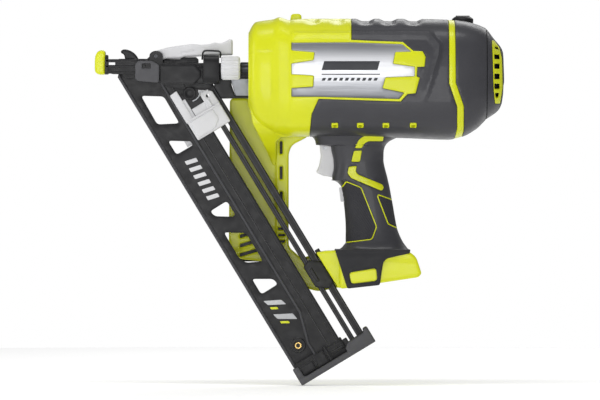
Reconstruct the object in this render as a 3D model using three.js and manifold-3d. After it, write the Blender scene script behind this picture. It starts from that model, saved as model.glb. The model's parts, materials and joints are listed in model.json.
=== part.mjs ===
// Cordless finish nailer with its own air compressor, built as separate pieces in their working places.
// Millimetres. Origin: centre of the nose pad's contact face. +X runs back along the drive axis, +Z is up,
// and -Y is the tool's left side, where the depth wheel and the nail pusher are.
import * as THREE from "three";
import { mergeVertices } from "three/addons/utils/BufferGeometryUtils.js";
import Module from "manifold-3d";

const wasm = await Module();
wasm.setup();

// ---- driving dimensions ----
const GAP = 0.3; // air between neighbouring pieces
const WALL = 2.6; // moulded shell wall
const SKIN = 1.8; // soft overmould thickness
const BORE_X = 131; // front face of the barrel
const CAP_X = 331.8; // joint between barrel and rear cap
const REAR_X = 346.7; // back of the rear cap
const HANDLE_BOTTOM = -157;
const FOOT_HALF = 38; // half the battery foot's width
const COLUMN_Y = [11.3, 48]; // the motor column stands beside the magazine
const MAG_ANGLE = THREE.MathUtils.degToRad(31.2); // magazine's lean from vertical
const MAG_ORIGIN = [20.7, -13.6]; // X and Z of the magazine's top left corner
const MAG_LENGTH = 286.5;
const MAG_SLOT = 1.9; // half the width of the nail slot
const MAG_SIDE = 8.5; // half the width over the nail track
const DRIVE_Z = -5; // height of the driver blade and drive cylinder
const WHEEL_Y = -19.5; // depth wheel's axis, left of the driver channel
const WHEEL_Z = -3.9;
const CONTACT_X = 106; // back of the contact element's adjuster block
const TOOTH = 1.5; // gear module
const CRANK = { x: 166, z: -39, teeth: 28, throw: 9, y: [24, 29] };
const MOTOR = { x: 142, z: -57, teeth: 12, radius: 18.5 };
const ROD_LENGTH = 64; // crank pin to wrist pin
const SEG = 20; // sides of a round piece

// ---- colours ----
const PAINT = {
  lime: { color: 0xd8e02a, roughness: 0.45, metalness: 0 },
  overmold: { color: 0x4a4a50, roughness: 0.8, metalness: 0 },
  black: { color: 0x2a2a2c, roughness: 0.55, metalness: 0 },
  charcoal: { color: 0x55565a, roughness: 0.6, metalness: 0 },
  pale: { color: 0xd4d4d6, roughness: 0.4, metalness: 0 },
  silver: { color: 0xc2c5ca, roughness: 0.3, metalness: 0.8 },
  steel: { color: 0x9a9ca0, roughness: 0.35, metalness: 1 },
  casting: { color: 0x8d8f94, roughness: 0.5, metalness: 0.9 },
  brass: { color: 0xb9a06a, roughness: 0.3, metalness: 1 },
  copper: { color: 0xa8623a, roughness: 0.4, metalness: 0.9 },
  board: { color: 0x1f5a3a, roughness: 0.5, metalness: 0 },
  rubber: { color: 0x222224, roughness: 0.9, metalness: 0 },
};

const nailer = new THREE.Group();
const magazine = new THREE.Group();
magazine.position.set(MAG_ORIGIN[0], 0, MAG_ORIGIN[1]);
magazine.rotation.y = -MAG_ANGLE;
nailer.add(magazine);

// ---- solids ----
function toSolid(geometry) {
  const bare = geometry.clone();
  bare.deleteAttribute("normal");
  bare.deleteAttribute("uv");
  const merged = mergeVertices(bare, 1e-4);
  return new wasm.Manifold(
    new wasm.Mesh({
      numProp: 3,
      vertProperties: new Float32Array(merged.attributes.position.array),
      triVerts: new Uint32Array(merged.index.array),
    }),
  );
}

function toGeometry(solid) {
  const { vertProperties, triVerts, numProp, numVert } = solid.getMesh();
  const position = new Float32Array(numVert * 3);
  for (let i = 0; i < numVert; i++) {
    position.set(vertProperties.subarray(i * numProp, i * numProp + 3), i * 3);
  }
  const geometry = new THREE.BufferGeometry();
  geometry.setAttribute("position", new THREE.BufferAttribute(position, 3));
  geometry.setIndex(new THREE.BufferAttribute(new Uint32Array(triVerts), 1));
  geometry.computeVertexNormals();
  return geometry;
}

function add(name, paint, solid, group = nailer) {
  const mesh = new THREE.Mesh(toGeometry(main(solid)), new THREE.MeshStandardMaterial(PAINT[paint]));
  mesh.name = name;
  group.add(mesh);
}

const join = (first, ...rest) => rest.reduce((all, next) => all.add(next), first);
const cut = (first, ...rest) => rest.reduce((all, next) => all.subtract(next), first);

function box(x0, x1, y0, y1, z0, z1) {
  const geometry = new THREE.BoxGeometry(x1 - x0, y1 - y0, z1 - z0);
  geometry.translate((x0 + x1) / 2, (y0 + y1) / 2, (z0 + z1) / 2);
  return toSolid(geometry);
}

// An outline of [x, z] points pushed along Y from y0 to y1, with an optional chamfer.
function plate(points, y0, y1, bevel = 0) {
  const ring = (y, outline) => outline.map(([x, z]) => [x, y, z]);
  if (!bevel) return skinned([ring(y0, points), ring(y1, points)]);
  const small = grow(points, -bevel);
  return skinned([ring(y0, small), ring(y0 + bevel, points), ring(y1 - bevel, points), ring(y1, small)]);
}

// A closed outline whose corners are rounded to the given radius.
function rounded(points, radius, steps = 2) {
  const out = [];
  points.forEach(([x, z], i) => {
    const [px, pz] = points.at(i - 1);
    const [nx, nz] = points[(i + 1) % points.length];
    const back = Math.hypot(px - x, pz - z);
    const ahead = Math.hypot(nx - x, nz - z);
    const reach = Math.min(radius, back / 2.2, ahead / 2.2);
    const start = [x + ((px - x) * reach) / back, z + ((pz - z) * reach) / back];
    const end = [x + ((nx - x) * reach) / ahead, z + ((nz - z) * reach) / ahead];
    for (let k = 0; k <= steps; k++) {
      const t = k / steps;
      const at = (c) => (1 - t) ** 2 * start[c] + 2 * t * (1 - t) * [x, z][c] + t ** 2 * end[c];
      out.push([at(0), at(1)]);
    }
  });
  return out;
}

// An outline moved outwards by a distance (inwards when negative).
function grow(points, by) {
  const turn = Math.sign(THREE.ShapeUtils.area(points.map(([x, y]) => new THREE.Vector2(x, y))));
  return points.map((point, i) => {
    const before = points.at(i - 1);
    const after = points[(i + 1) % points.length];
    const [ax, az] = unit(before, point);
    const [bx, bz] = unit(point, after);
    const scale = (turn * by) / (1 + ax * bx + az * bz);
    return [point[0] + (az + bz) * scale, point[1] - (ax + bx) * scale];
  });
}

function unit([x0, z0], [x1, z1]) {
  const length = Math.hypot(x1 - x0, z1 - z0);
  return [(x1 - x0) / length, (z1 - z0) / length];
}

// The biggest body of a cut, without the slivers beside it.
function main(solid) {
  return solid.decompose().sort((a, b) => b.volume() - a.volume())[0];
}

const rect = (x0, x1, z0, z1) => [[x0, z0], [x1, z0], [x1, z1], [x0, z1]];

// A round bar between two points.
function rod(from, to, radius, sides = SEG) {
  const a = new THREE.Vector3(...from);
  const b = new THREE.Vector3(...to);
  const geometry = new THREE.CylinderGeometry(radius, radius, a.distanceTo(b), sides);
  const turn = new THREE.Quaternion().setFromUnitVectors(
    new THREE.Vector3(0, 1, 0),
    b.clone().sub(a).normalize(),
  );
  geometry.applyQuaternion(turn);
  geometry.translate((a.x + b.x) / 2, (a.y + b.y) / 2, (a.z + b.z) / 2);
  return toSolid(geometry);
}

const rodX = (x0, x1, y, z, r, sides) => rod([x0, y, z], [x1, y, z], r, sides);
const rodY = (x, y0, y1, z, r, sides) => rod([x, y0, z], [x, y1, z], r, sides);

// A solid skinned over rings of points that match one another, closed by flat ends.
function skinned(rings) {
  const count = rings[0].length;
  const position = rings.flat().flat();
  const index = [];
  for (let r = 0; r < rings.length - 1; r++) {
    for (let i = 0; i < count; i++) {
      const a = r * count + i;
      const b = r * count + ((i + 1) % count);
      index.push(a, b, b + count, a, b + count, a + count);
    }
  }
  const last = (rings.length - 1) * count;
  for (const [a, b, c] of flatFaces(rings[0])) {
    index.push(b, a, c, last + a, last + b, last + c);
  }
  const build = (order) => {
    const geometry = new THREE.BufferGeometry();
    geometry.setAttribute("position", new THREE.Float32BufferAttribute(position, 3));
    geometry.setIndex(order);
    return toSolid(geometry);
  };
  const solid = build(index);
  return solid.volume() > 0 ? solid : build(index.reverse());
}

// Triangles over a flat ring, turned the way the ring runs.
function flatFaces(ring) {
  const spread = [0, 1, 2].map((c) => {
    const along = ring.map((p) => p[c]);
    return Math.max(...along) - Math.min(...along);
  });
  const thin = spread.indexOf(Math.min(...spread));
  const [u, v] = [0, 1, 2].filter((c) => c !== thin);
  const flat = ring.map((p) => new THREE.Vector2(p[u], p[v]));
  if (THREE.ShapeUtils.area(flat) > 0) return THREE.ShapeUtils.triangulateShape(flat, []);
  const lastIndex = ring.length - 1;
  const faces = THREE.ShapeUtils.triangulateShape(flat.reverse(), []);
  return faces.map(([a, b, c]) => [lastIndex - c, lastIndex - b, lastIndex - a]);
}

// Rounded-rectangle section: half sizes a and b, power sets how square it is.
function section(a, b, power, count) {
  const points = [];
  for (let i = 0; i < count; i++) {
    const angle = ((i + 0.5) / count) * 2 * Math.PI;
    const c = Math.cos(angle);
    const s = Math.sin(angle);
    points.push([
      a * Math.sign(c) * Math.abs(c) ** (2 / power),
      b * Math.sign(s) * Math.abs(s) ** (2 / power),
    ]);
  }
  return points;
}

// Barrel stations: x, top, bottom, half width.
const BARREL = [
  [BORE_X, 27, -38, 31],
  [134, 32.5, -45, 35],
  [140, 36.5, -54, 38],
  [156, 39.5, -60, 43],
  [170, 38.9, -61.5, 47.5],
  [192, 38.9, -62, 50],
  [262, 38.7, -63, 50],
  [300, 38, -64.3, 49.5],
  [312, 36.5, -61.9, 48],
  [324, 33.5, -55, 45],
  [CAP_X, 30.3, -47.4, 41.5],
  [338, 22, -43.5, 36],
  [343, 16, -39.5, 31],
  [REAR_X, 8, -21, 22],
];
const BARREL_SIDES = 26;

function barrel(inset, from = 0, to = 1e9) {
  const rings = BARREL.filter(([x]) => x >= from && x <= to).map(([x, top, bottom, half]) => {
    const middle = (top + bottom) / 2;
    return section(half - inset, (top - bottom) / 2 - inset, 3.4, BARREL_SIDES).map(([y, z]) => [
      x,
      y,
      middle + z,
    ]);
  });
  return skinned(rings);
}

const left = (solid) => solid.intersect(box(0, 400, -60, -GAP / 2, -300, 60));
const right = (solid) => solid.intersect(box(0, 400, GAP / 2, 60, -300, 60));
const halves = { left, right };

// Handle stations: z, front, back, half width.
const HANDLE = [
  [-60, 191, 262, 22],
  [-70, 197.5, 247.5, 19.5],
  [-82, 201, 245, 17.5],
  [-98, 203.5, 248.8, 17],
  [-106, 208.6, 250.4, 17.2],
  [-118, 210.8, 252.8, 17.5],
  [-140, 213.6, 256.8, 18],
  [-151, 213.4, 262, 18.6],
  [HANDLE_BOTTOM, 208.5, 266.5, 20],
];

function handle(inset) {
  return skinned(
    HANDLE.map(([z, front, back, half]) =>
      section((back - front) / 2 - inset, half - inset, 2.8, 24).map(([x, y]) => [
        (front + back) / 2 + x,
        y,
        z,
      ]),
    ),
  );
}

// ---- outlines seen from the side, as [x, z] ----
const OVERMOLD_EDGE = [
  [217.6, 60], [217.6, 18], [204, -6], [190, -30], [184, -43.5], [182.4, -70],
  [CAP_X - GAP, -70], [CAP_X - GAP, 60],
];
const LABEL = [
  [167, 18], [217.6, 18.2], [260, 16.6], [268, 9], [254, 8.9], [253, -2.8], [270, -3.5], [270, -12.3],
  [245, -12.3], [244, -24.5], [262, -25.2], [258, -29], [189.6, -28], [167, -28], [167, -20.7],
  [185, -20.7], [186, -10.8], [167, -10.8], [167, 2.1], [185, 2.1], [186, 11.2], [167, 11.2],
];
const BAND = [
  [299.8, 44], [304.8, 44], [306.2, -17], [312.6, -37], [312.6, -58], [306.8, -70], [302, -70],
  [307, -56], [307, -38], [300.2, -18],
];
const GRILLE = [[336, 19], [338.5, 19.5], [345.4, 9], [345.8, -20], [343.6, -34], [339, -34], [336.5, -12]];
const TRIGGER = [
  [190.7, -68], [191.8, -78.2], [190.2, -86.4], [187.6, -92.1], [193.8, -94.7], [200.5, -96],
  [202, -87.6], [201.5, -78.2], [199.5, -68],
];
const FOOT = [
  [207.5, -158], [262, -157.6], [268.5, -160], [272.8, -164], [277, -177.6], [273.7, -180.8],
  [213.9, -189.9], [207.6, -190.8],
];
const SADDLE = [
  [204, -150], [268, -150], [267.5, -160.5], [248, -166], [245, -176], [243, -196], [214, -196],
  [207, -166],
];
const COLUMN = [
  [113.5, -31], [131, -31], [170, -45], [181.5, -61], [167, -68.5], [164.6, -75], [164.6, -156],
  [176, -165.5], [190, -160.2], [207.2, -159.4], [207.2, -190.6], [190, -194], [176, -190],
  [160.5, -169.5], [123.3, -166], [113.5, -158],
];

// ---- barrel, overmould and rear cap ----
const LABEL_DEPTH = 1.2;
const BAND_DEPTH = 1.1;
const DIAL = { x: 312.5, radius: 9 };
const GRILLE_WINDOWS = [[11.5, 15], [4.2, 8.8], [-4.4, 1], [-13.4, -7.8], [-22, -16.6], [-29.4, -24.6]];
const whole = barrel(0, 0, CAP_X);
const slab = (points, by = 0) => plate(by ? grow(points, by) : points, -60, 60);
const mirrorY = (solid) => solid.mirror([0, 1, 0]);
// The part of a block that lies outside the barrel's skin, starting a given depth under it.
const beyond = (solid, depth) => cut(solid, barrel(depth));

function buildBarrel() {
  const cavity = join(barrel(WALL + SKIN, 139, CAP_X), box(CAP_X - 4, CAP_X + 5, -34, 34, -40, 24));
  const behindEdge = slab(OVERMOLD_EDGE, GAP);
  const labelRecess = beyond(slab(LABEL, GAP), LABEL_DEPTH);
  const handleRoot = handle(-GAP);
  const dialHole = rod([DIAL.x, 0, 20], [DIAL.x, 0, 50], DIAL.radius + 1.2);
  const noseHoles = join(
    rodX(BORE_X - 1, 150, 0, DRIVE_Z, 13),
    rodX(BORE_X - 1, 150, WHEEL_Y, WHEEL_Z, 5.4, 12),
    box(BORE_X - 1, 141, -12.4, 12.4, -29.2, DRIVE_Z),
  );
  const removed = [cavity, noseHoles, labelRecess, handleRoot, dialHole, motorSpace()];
  const yellow = cut(whole, beyond(behindEdge, SKIN + GAP), ...removed);
  const rearSkin = cut(whole.intersect(slab(OVERMOLD_EDGE)), barrel(SKIN, 0, CAP_X + 1));
  const dark = cut(rearSkin, labelRecess, handleRoot, dialHole);
  const bandGroove = beyond(slab(BAND), BAND_DEPTH);
  const band = cut(beyond(slab(BAND, -GAP), BAND_DEPTH - GAP).intersect(whole), dialHole);
  const panel = beyond(slab(LABEL), LABEL_DEPTH - GAP).intersect(whole);
  for (const [side, half] of Object.entries(halves)) {
    add(`housing_${side}`, "lime", half(yellow));
    add(`overmold_${side}`, "overmold", half(cut(dark, bandGroove)));
    add(`accent_band_${side}`, "lime", half(band));
    add(`side_panel_${side}`, "silver", half(panel));
  }
  const cap = barrel(0).intersect(box(CAP_X + GAP, REAR_X + 5, -60, 60, -70, 60));
  const grilleBlock = (by) => plate(grow(GRILLE, by), -60, -12);
  const openings = GRILLE_WINDOWS.map(([z0, z1]) => box(338.4, 342.8, -60, 60, z0, z1));
  const recess = beyond(grilleBlock(GAP), 1.6);
  const inside = barrel(WALL).intersect(box(CAP_X - 1, REAR_X - WALL, -60, 60, -70, 60));
  add("rear_cap", "overmold", cut(cap, inside, recess, mirrorY(recess), ...openings));
  const grille = cut(beyond(grilleBlock(0), 1.6 - GAP).intersect(cap), ...openings);
  add("vent_grille_left", "lime", grille);
  add("vent_grille_right", "lime", mirrorY(grille));
  const knob = join(
    rod([DIAL.x, 0, 34], [DIAL.x, 0, 38.4], DIAL.radius),
    rod([DIAL.x, 0, 38], [DIAL.x, 0, 40.5], DIAL.radius - 1.8),
  );
  add("power_dial", "black", cut(knob, box(304, 321, -0.7, 0.7, 39.6, 41)));
}

// ---- handle, trigger and foot ----
const SOCKET = plate([[221, -150], [250, -150], [255, -195], [215.5, -195]], -13, 13);

function buildHandle() {
  const hollow = cut(handle(3.2), box(180, 280, -30, 30, -160, -140), box(180, 280, -30, 30, -70, -50));
  const triggerPocket = plate([[186, -58], [206, -58], [206.5, -98], [186, -98]], -7.6, 7.6);
  const gripPocket = box(205, 217, -4.3, 4.3, -117.5, -104.6);
  const wires = rod([228, 0, -135], [235, 0, -160], 7, 12);
  const top = barrel(-GAP, 0, CAP_X);
  const shell = cut(handle(0), hollow, triggerPocket, gripPocket, wires, SOCKET, top);
  add("handle_left", "overmold", left(shell));
  add("handle_right", "overmold", right(shell));
  add("trigger", "pale", cut(plate(TRIGGER, -6.9, 6.9, 1), rodY(194.9, -10, 10, -71.4, 1.6, 12)));
  add("trigger_pin", "steel", rodY(194.9, -6.9, 6.9, -71.4, 1.3, 10));
  add("trigger_switch", "black", box(214, 224, -6, 6, -92, -78));
  add("grip_switch", "pale", plate([[207.4, -105], [212.2, -105], [212.2, -117], [208.8, -117]], -4, 4));
  const lower = HANDLE_BOTTOM - GAP;
  const aboveFoot = box(200, 280, -60, 60, lower, -150);
  const foot = cut(plate(rounded(FOOT, 4), -FOOT_HALF, FOOT_HALF, 1.2), SOCKET, aboveFoot);
  const inlay = (by, y0) => plate(grow(SADDLE, by), y0, 60);
  const flank = foot.intersect(inlay(-GAP, FOOT_HALF - SKIN));
  const pocket = inlay(0, FOOT_HALF - SKIN - GAP);
  const yellowFoot = cut(foot, pocket, mirrorY(pocket));
  add("foot_left", "lime", left(yellowFoot));
  add("foot_right", "lime", right(yellowFoot));
  add("foot_saddle_right", "overmold", flank);
  add("foot_saddle_left", "overmold", mirrorY(flank));
  add("battery_contacts", "black", box(224, 247, -11, 11, -158, -150.4));
  add("circuit_board", "board", box(226, 228, -12, 12, -126, -98));
}

// ---- motor column and its drive train ----
const COLUMN_INSIDE = [[117, -36], [150, -50], [161, -75], [161, -158], [124, -162], [117, -156]];

function buildColumn() {
  const [near, far] = COLUMN_Y;
  const outside = barrel(-GAP, 0, CAP_X);
  const outer = cut(plate(rounded(COLUMN, 5), near, far, 1.2), outside, box(186, 210, 38.3, 60, -200, -150));
  const inner = cut(
    plate(COLUMN_INSIDE, near + WALL, far - WALL),
    barrel(-WALL, 0, CAP_X),
  );
  const slots = [];
  for (let i = 0; i < 3; i++) {
    slots.push(box(157, 159.2, near - 1, far + 1, -76.3 - 21.5 * i, -65.5 - 21.5 * i));
    const leaning = [[123, -148], [140, -143], [140, -140.4], [123, -145.4]].map(([x, z]) => [x, z - 8 * i]);
    slots.push(plate(leaning, near - 1, far + 1));
  }
  const shell = cut(outer, inner, motorSpace(), ...slots);
  const seam = (near + far) / 2;
  add("motor_cover", "lime", shell.intersect(box(100, 220, 0, seam - GAP / 2, -200, 0)));
  add("motor_housing", "lime", shell.intersect(box(100, 220, seam + GAP / 2, 60, -200, 0)));
}

// Room for the motor, its fan and the crank gear.
function motorSpace() {
  return join(
    rodY(MOTOR.x, 13.4, 45.6, MOTOR.z, MOTOR.radius + 0.8, 24),
    rodY(CRANK.x, CRANK.y[0] - 1.2, CRANK.y[1] + 1.2, CRANK.z, (CRANK.teeth * TOOTH) / 2 + 2.2, 28),
  );
}

// A spur gear on a Y axis, with one tooth centred on the given angle.
function gear(at, teeth, y0, y1, bore, phase) {
  const pitch = (teeth * TOOTH) / 2;
  const outline = [];
  for (let i = 0; i < teeth; i++) {
    for (const [share, radius] of [[-0.3, -1.1], [-0.13, 0.8], [0.13, 0.8], [0.3, -1.1]]) {
      const angle = phase + ((i + share) / teeth) * 2 * Math.PI;
      const r = pitch + radius * TOOTH;
      outline.push([at.x + r * Math.cos(angle), at.z + r * Math.sin(angle)]);
    }
  }
  const blank = plate(outline, y0, y1);
  return bore ? cut(blank, rodY(at.x, y0 - 1, y1 + 1, at.z, bore, 12)) : blank;
}

function buildDrive() {
  const [gearNear, gearFar] = CRANK.y;
  const line = Math.atan2(MOTOR.z - CRANK.z, MOTOR.x - CRANK.x);
  const can = rodY(MOTOR.x, 14.2, 23, MOTOR.z, MOTOR.radius, 24);
  add("motor_can", "black", cut(can, rodY(MOTOR.x, 16, 30, MOTOR.z, 15.6, 24)));
  const rotor = rodY(MOTOR.x, 16.6, 22.6, MOTOR.z, 14.8, 20);
  add("motor_rotor", "copper", join(rotor, rodY(MOTOR.x, 22, 44, MOTOR.z, 2, 12)));
  const meshing = line + Math.PI + Math.PI / MOTOR.teeth; // turns a gap between teeth towards the crank gear
  add("motor_pinion", "steel", gear(MOTOR, MOTOR.teeth, gearNear, gearFar, 2.3, meshing));
  const blades = [];
  for (let i = 0; i < 7; i++) {
    const turn = (i / 7) * 2 * Math.PI;
    const reach = (r, twist) => [MOTOR.x + r * Math.cos(turn + twist), MOTOR.z + r * Math.sin(turn + twist)];
    blades.push(plate([reach(3.5, -0.3), reach(15.5, 0), reach(15.5, 0.14), reach(3.5, 0.3)], 38, 43));
  }
  const hub = rodY(MOTOR.x, 37, 43, MOTOR.z, 5, 14);
  const backPlate = rodY(MOTOR.x, 37, 38.2, MOTOR.z, 16.5, 20);
  add("motor_fan", "black", cut(join(hub, backPlate, ...blades), rodY(MOTOR.x, 30, 50, MOTOR.z, 2.3, 12)));
  const crankShaft = rodY(CRANK.x, 13, gearNear + 1, CRANK.z, 5, 14);
  const webOutline = rect(CRANK.x - CRANK.throw - 4, CRANK.x + 6, CRANK.z - 6, CRANK.z + 6);
  const web = plate(rounded(webOutline, 4), 8, 13.2);
  const pin = rodY(CRANK.x - CRANK.throw, 3.6, 9, CRANK.z, 2.6, 12);
  const wheel = gear(CRANK, CRANK.teeth, gearNear, gearFar, 0, line);
  add("crank_gear", "steel", join(wheel, crankShaft, web, pin));
  const bigEnd = CRANK.x - CRANK.throw;
  const wrist = bigEnd + ROD_LENGTH;
  const rodBody = join(
    rodY(bigEnd, -3, 3, CRANK.z, 5.6, 16),
    box(bigEnd, wrist, -2.4, 2.4, CRANK.z - 3.4, CRANK.z + 3.4),
    rodY(wrist, -3, 3, CRANK.z, 5, 16),
  );
  const rodEyes = [rodY(bigEnd, -5, 5, CRANK.z, 2.9, 12), rodY(wrist, -5, 5, CRANK.z, 2.4, 12)];
  add("con_rod", "steel", cut(rodBody, ...rodEyes));
  const piston = rodX(wrist - 5, wrist + 11, 0, CRANK.z, 12.2, 24);
  const saddleCut = box(wrist - 6, wrist + 7, -3.6, 3.6, CRANK.z - 20, CRANK.z + 20);
  add("compressor_piston", "casting", join(cut(piston, saddleCut), rodY(wrist, -10, 10, CRANK.z, 2.1, 12)));
  const tube = (x0, x1, z, outer, inner) =>
    cut(rodX(x0, x1, 0, z, outer, 28), rodX(x0 - 1, x1 + 1, 0, z, inner, 28));
  add("compressor_cylinder", "casting", tube(wrist - 6, 285, CRANK.z, 14.5, 12.5));
  add("drive_cylinder", "casting", tube(158, 285, DRIVE_Z, 19, 17));
  add("drive_bumper", "rubber", tube(159, 165.6, DRIVE_Z, 16.7, 6));
  add("drive_piston", "casting", rodX(262, 276, 0, DRIVE_Z, 16.7, 28));
  add("driver_blade", "steel", box(98.5, 261.7, -1.5, 1.5, DRIVE_Z - 1.2, DRIVE_Z + 1.2));
  add("valve_head", "casting", plate(rounded(rect(285.3, 299, -56, 14), 4), -17, 17));
}

// ---- nose: driver channel, contact element, depth wheel, jam latch ----
const LATCH = { x: 52, z: 6.4 }; // shared pivot of the latch lever and the jam door

function buildNose() {
  const guide = plate([[20, 0.7], [20, -6], [26, -12], [130.6, -12], [130.6, 0.7]], -MAG_SIDE, MAG_SIDE);
  const bladeWay = box(18, 132, -2.1, 2.1, DRIVE_Z - 1.8, 2);
  const nailWay = box(31, 98, -MAG_SLOT, MAG_SLOT, -13, DRIVE_Z);
  const pinHole = rodY(LATCH.x, -12, 12, LATCH.z, 1.7, 12);
  const lug = join(
    plate(rounded([[46.5, -6], [46.5, 8.6], [50, 11], [54, 11], [58, 8.6], [58, -6]], 2), -10.9, -7.9),
    box(47, 57.5, -8.2, -6, -6, 0.6),
  );
  const armSlot = box(30, 60, -12, -8.8, -11, -2);
  add("driver_guide", "black", cut(join(guide, lug, mirrorY(lug)), bladeWay, nailWay, pinHole, armSlot));
  add("nose_casting", "casting", plate([[115, -12.4], [138, -12.4], [138, -28.7], [120, -28.7]], -12, 12));
  const coverSide = [[55.8, 1], [90.5, 1], [90.5, -12], [86, -17.6], [55.8, -17.6]];
  add("nose_cover", "black", plate(coverSide, -14.4, -12, 0.6));
  const muzzle = rodX(-1, 12, 0, DRIVE_Z, 3.3, 16);
  const pad = plate(rounded([[0, 11.6], [7.6, 11.6], [7.6, -9.4], [0, -9.4]], 4), -9, 9, 1.2);
  add("nose_pad", "lime", cut(pad, muzzle));
  const yoke = cut(plate(rounded(rect(7.9, 11.4, -9, 7.6), 1), -8, 8), muzzle);
  const upperArm = join(
    rodX(11, 36, -10.3, 2.4, 1.1, 8),
    box(9, 12.4, -11.4, -7, -0.6, 4),
    box(34, 38, -11.5, -9.4, -6, 2.6),
  );
  const lowerArm = box(9, 92.6, -11.5, -9.2, -9, -3.6);
  const block = box(92.4, CONTACT_X, -27, -9.2, -21, 10);
  add("contact_arm", "black", join(yoke, upperArm, lowerArm, block, box(9, 12, -11.5, -7, -9, -3.6)));
  const facing = plate(rounded(rect(34.5, 54.5, -16.2, 2.9), 3), -14.4, -11.8, 0.5);
  add("nose_side_plate", "charcoal", cut(facing, box(40, 47, -15, -13.4, -4, -0.3)));
  const ribs = 24;
  const knurl = (x, scale) =>
    Array.from({ length: 2 * ribs }, (_, i) => {
      const angle = (i / (2 * ribs)) * 2 * Math.PI;
      const r = scale * (i % 2 ? 9.4 : 10);
      return [x, WHEEL_Y + r * Math.cos(angle), WHEEL_Z + r * Math.sin(angle)];
    });
  const wheel = skinned([knurl(107.3, 0.92), knurl(108.5, 1), knurl(122.5, 1), knurl(123.7, 0.92)]);
  add("depth_wheel", "pale", cut(wheel, rodX(100, 130, WHEEL_Y, WHEEL_Z, 3.3, 16)));
  add("adjuster_shaft", "steel", join(
    rodX(107, 124.2, WHEEL_Y, WHEEL_Z, 3, 16),
    rodX(124, 142, WHEEL_Y, WHEEL_Z, 5, 16),
  ));
  const door = join(
    box(20, 46, -7.5, 7.5, 1, 4.4),
    plate(
      [[36.2, 4], [33, 8.6], [28, 11.8], [23, 12.2], [21.6, 10.6], [25.5, 9], [28, 7], [25, 4]],
      -3.6, 3.6,
    ),
    rodY(LATCH.x, -3.4, 3.4, LATCH.z, 4.4, 14),
    box(44, LATCH.x, -3.4, 3.4, 1.2, 8),
  );
  add("jam_door", "black", cut(door, rodY(LATCH.x, -9, 9, LATCH.z, 1.8, 12)));
  const leverSide = [
    [49, 3], [49, 9.6], [58, 13.3], [60, 13.4], [84, 17.6], [97, 16], [106, 17.4], [117, 21],
    [117, 10.6], [78, 4.8], [60, 4.4], [54, 2.4],
  ];
  const lever = plate(leverSide, -7.4, 7.4, 0.9);
  const fork = box(40, 62, -3.8, 3.8, -1, 20);
  add("latch_lever", "pale", cut(lever, fork, rodY(LATCH.x, -9, 9, LATCH.z, 1.8, 12)));
  add("latch_pin", "steel", rodY(LATCH.x, -10.6, 10.6, LATCH.z, 1.5, 12));
}

// ---- magazine, in its own leaning frame: X across the nails, -Z down the magazine ----
const down = (points) => points.map(([across, along]) => [across, -along]);
const SCREW = { x: 13.2, z: -271.6 }; // the screw that clamps the two magazine plates
const topEdge = (across) => 0.606 * across - 0.6; // where the nose cuts the magazine's top off
const WINDOWS = [
  [[8.8, 21], [25, 31.5], [24.6, 58], [8, 49]],
  [[8.6, 65.6], [24.9, 76], [24.9, 79.7], [8.7, 79.6]],
  [[8.2, 135.5], [24.9, 135.3], [25, 148.8], [22.4, 149.4], [9.4, 141]],
  [[8.9, 156.8], [24.7, 167], [24.6, 195], [11.5, 188.6], [8.6, 181.8]],
  [[8.8, 203], [24.3, 212.4], [25.3, 218.2], [8.8, 218.4]],
];

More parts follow.
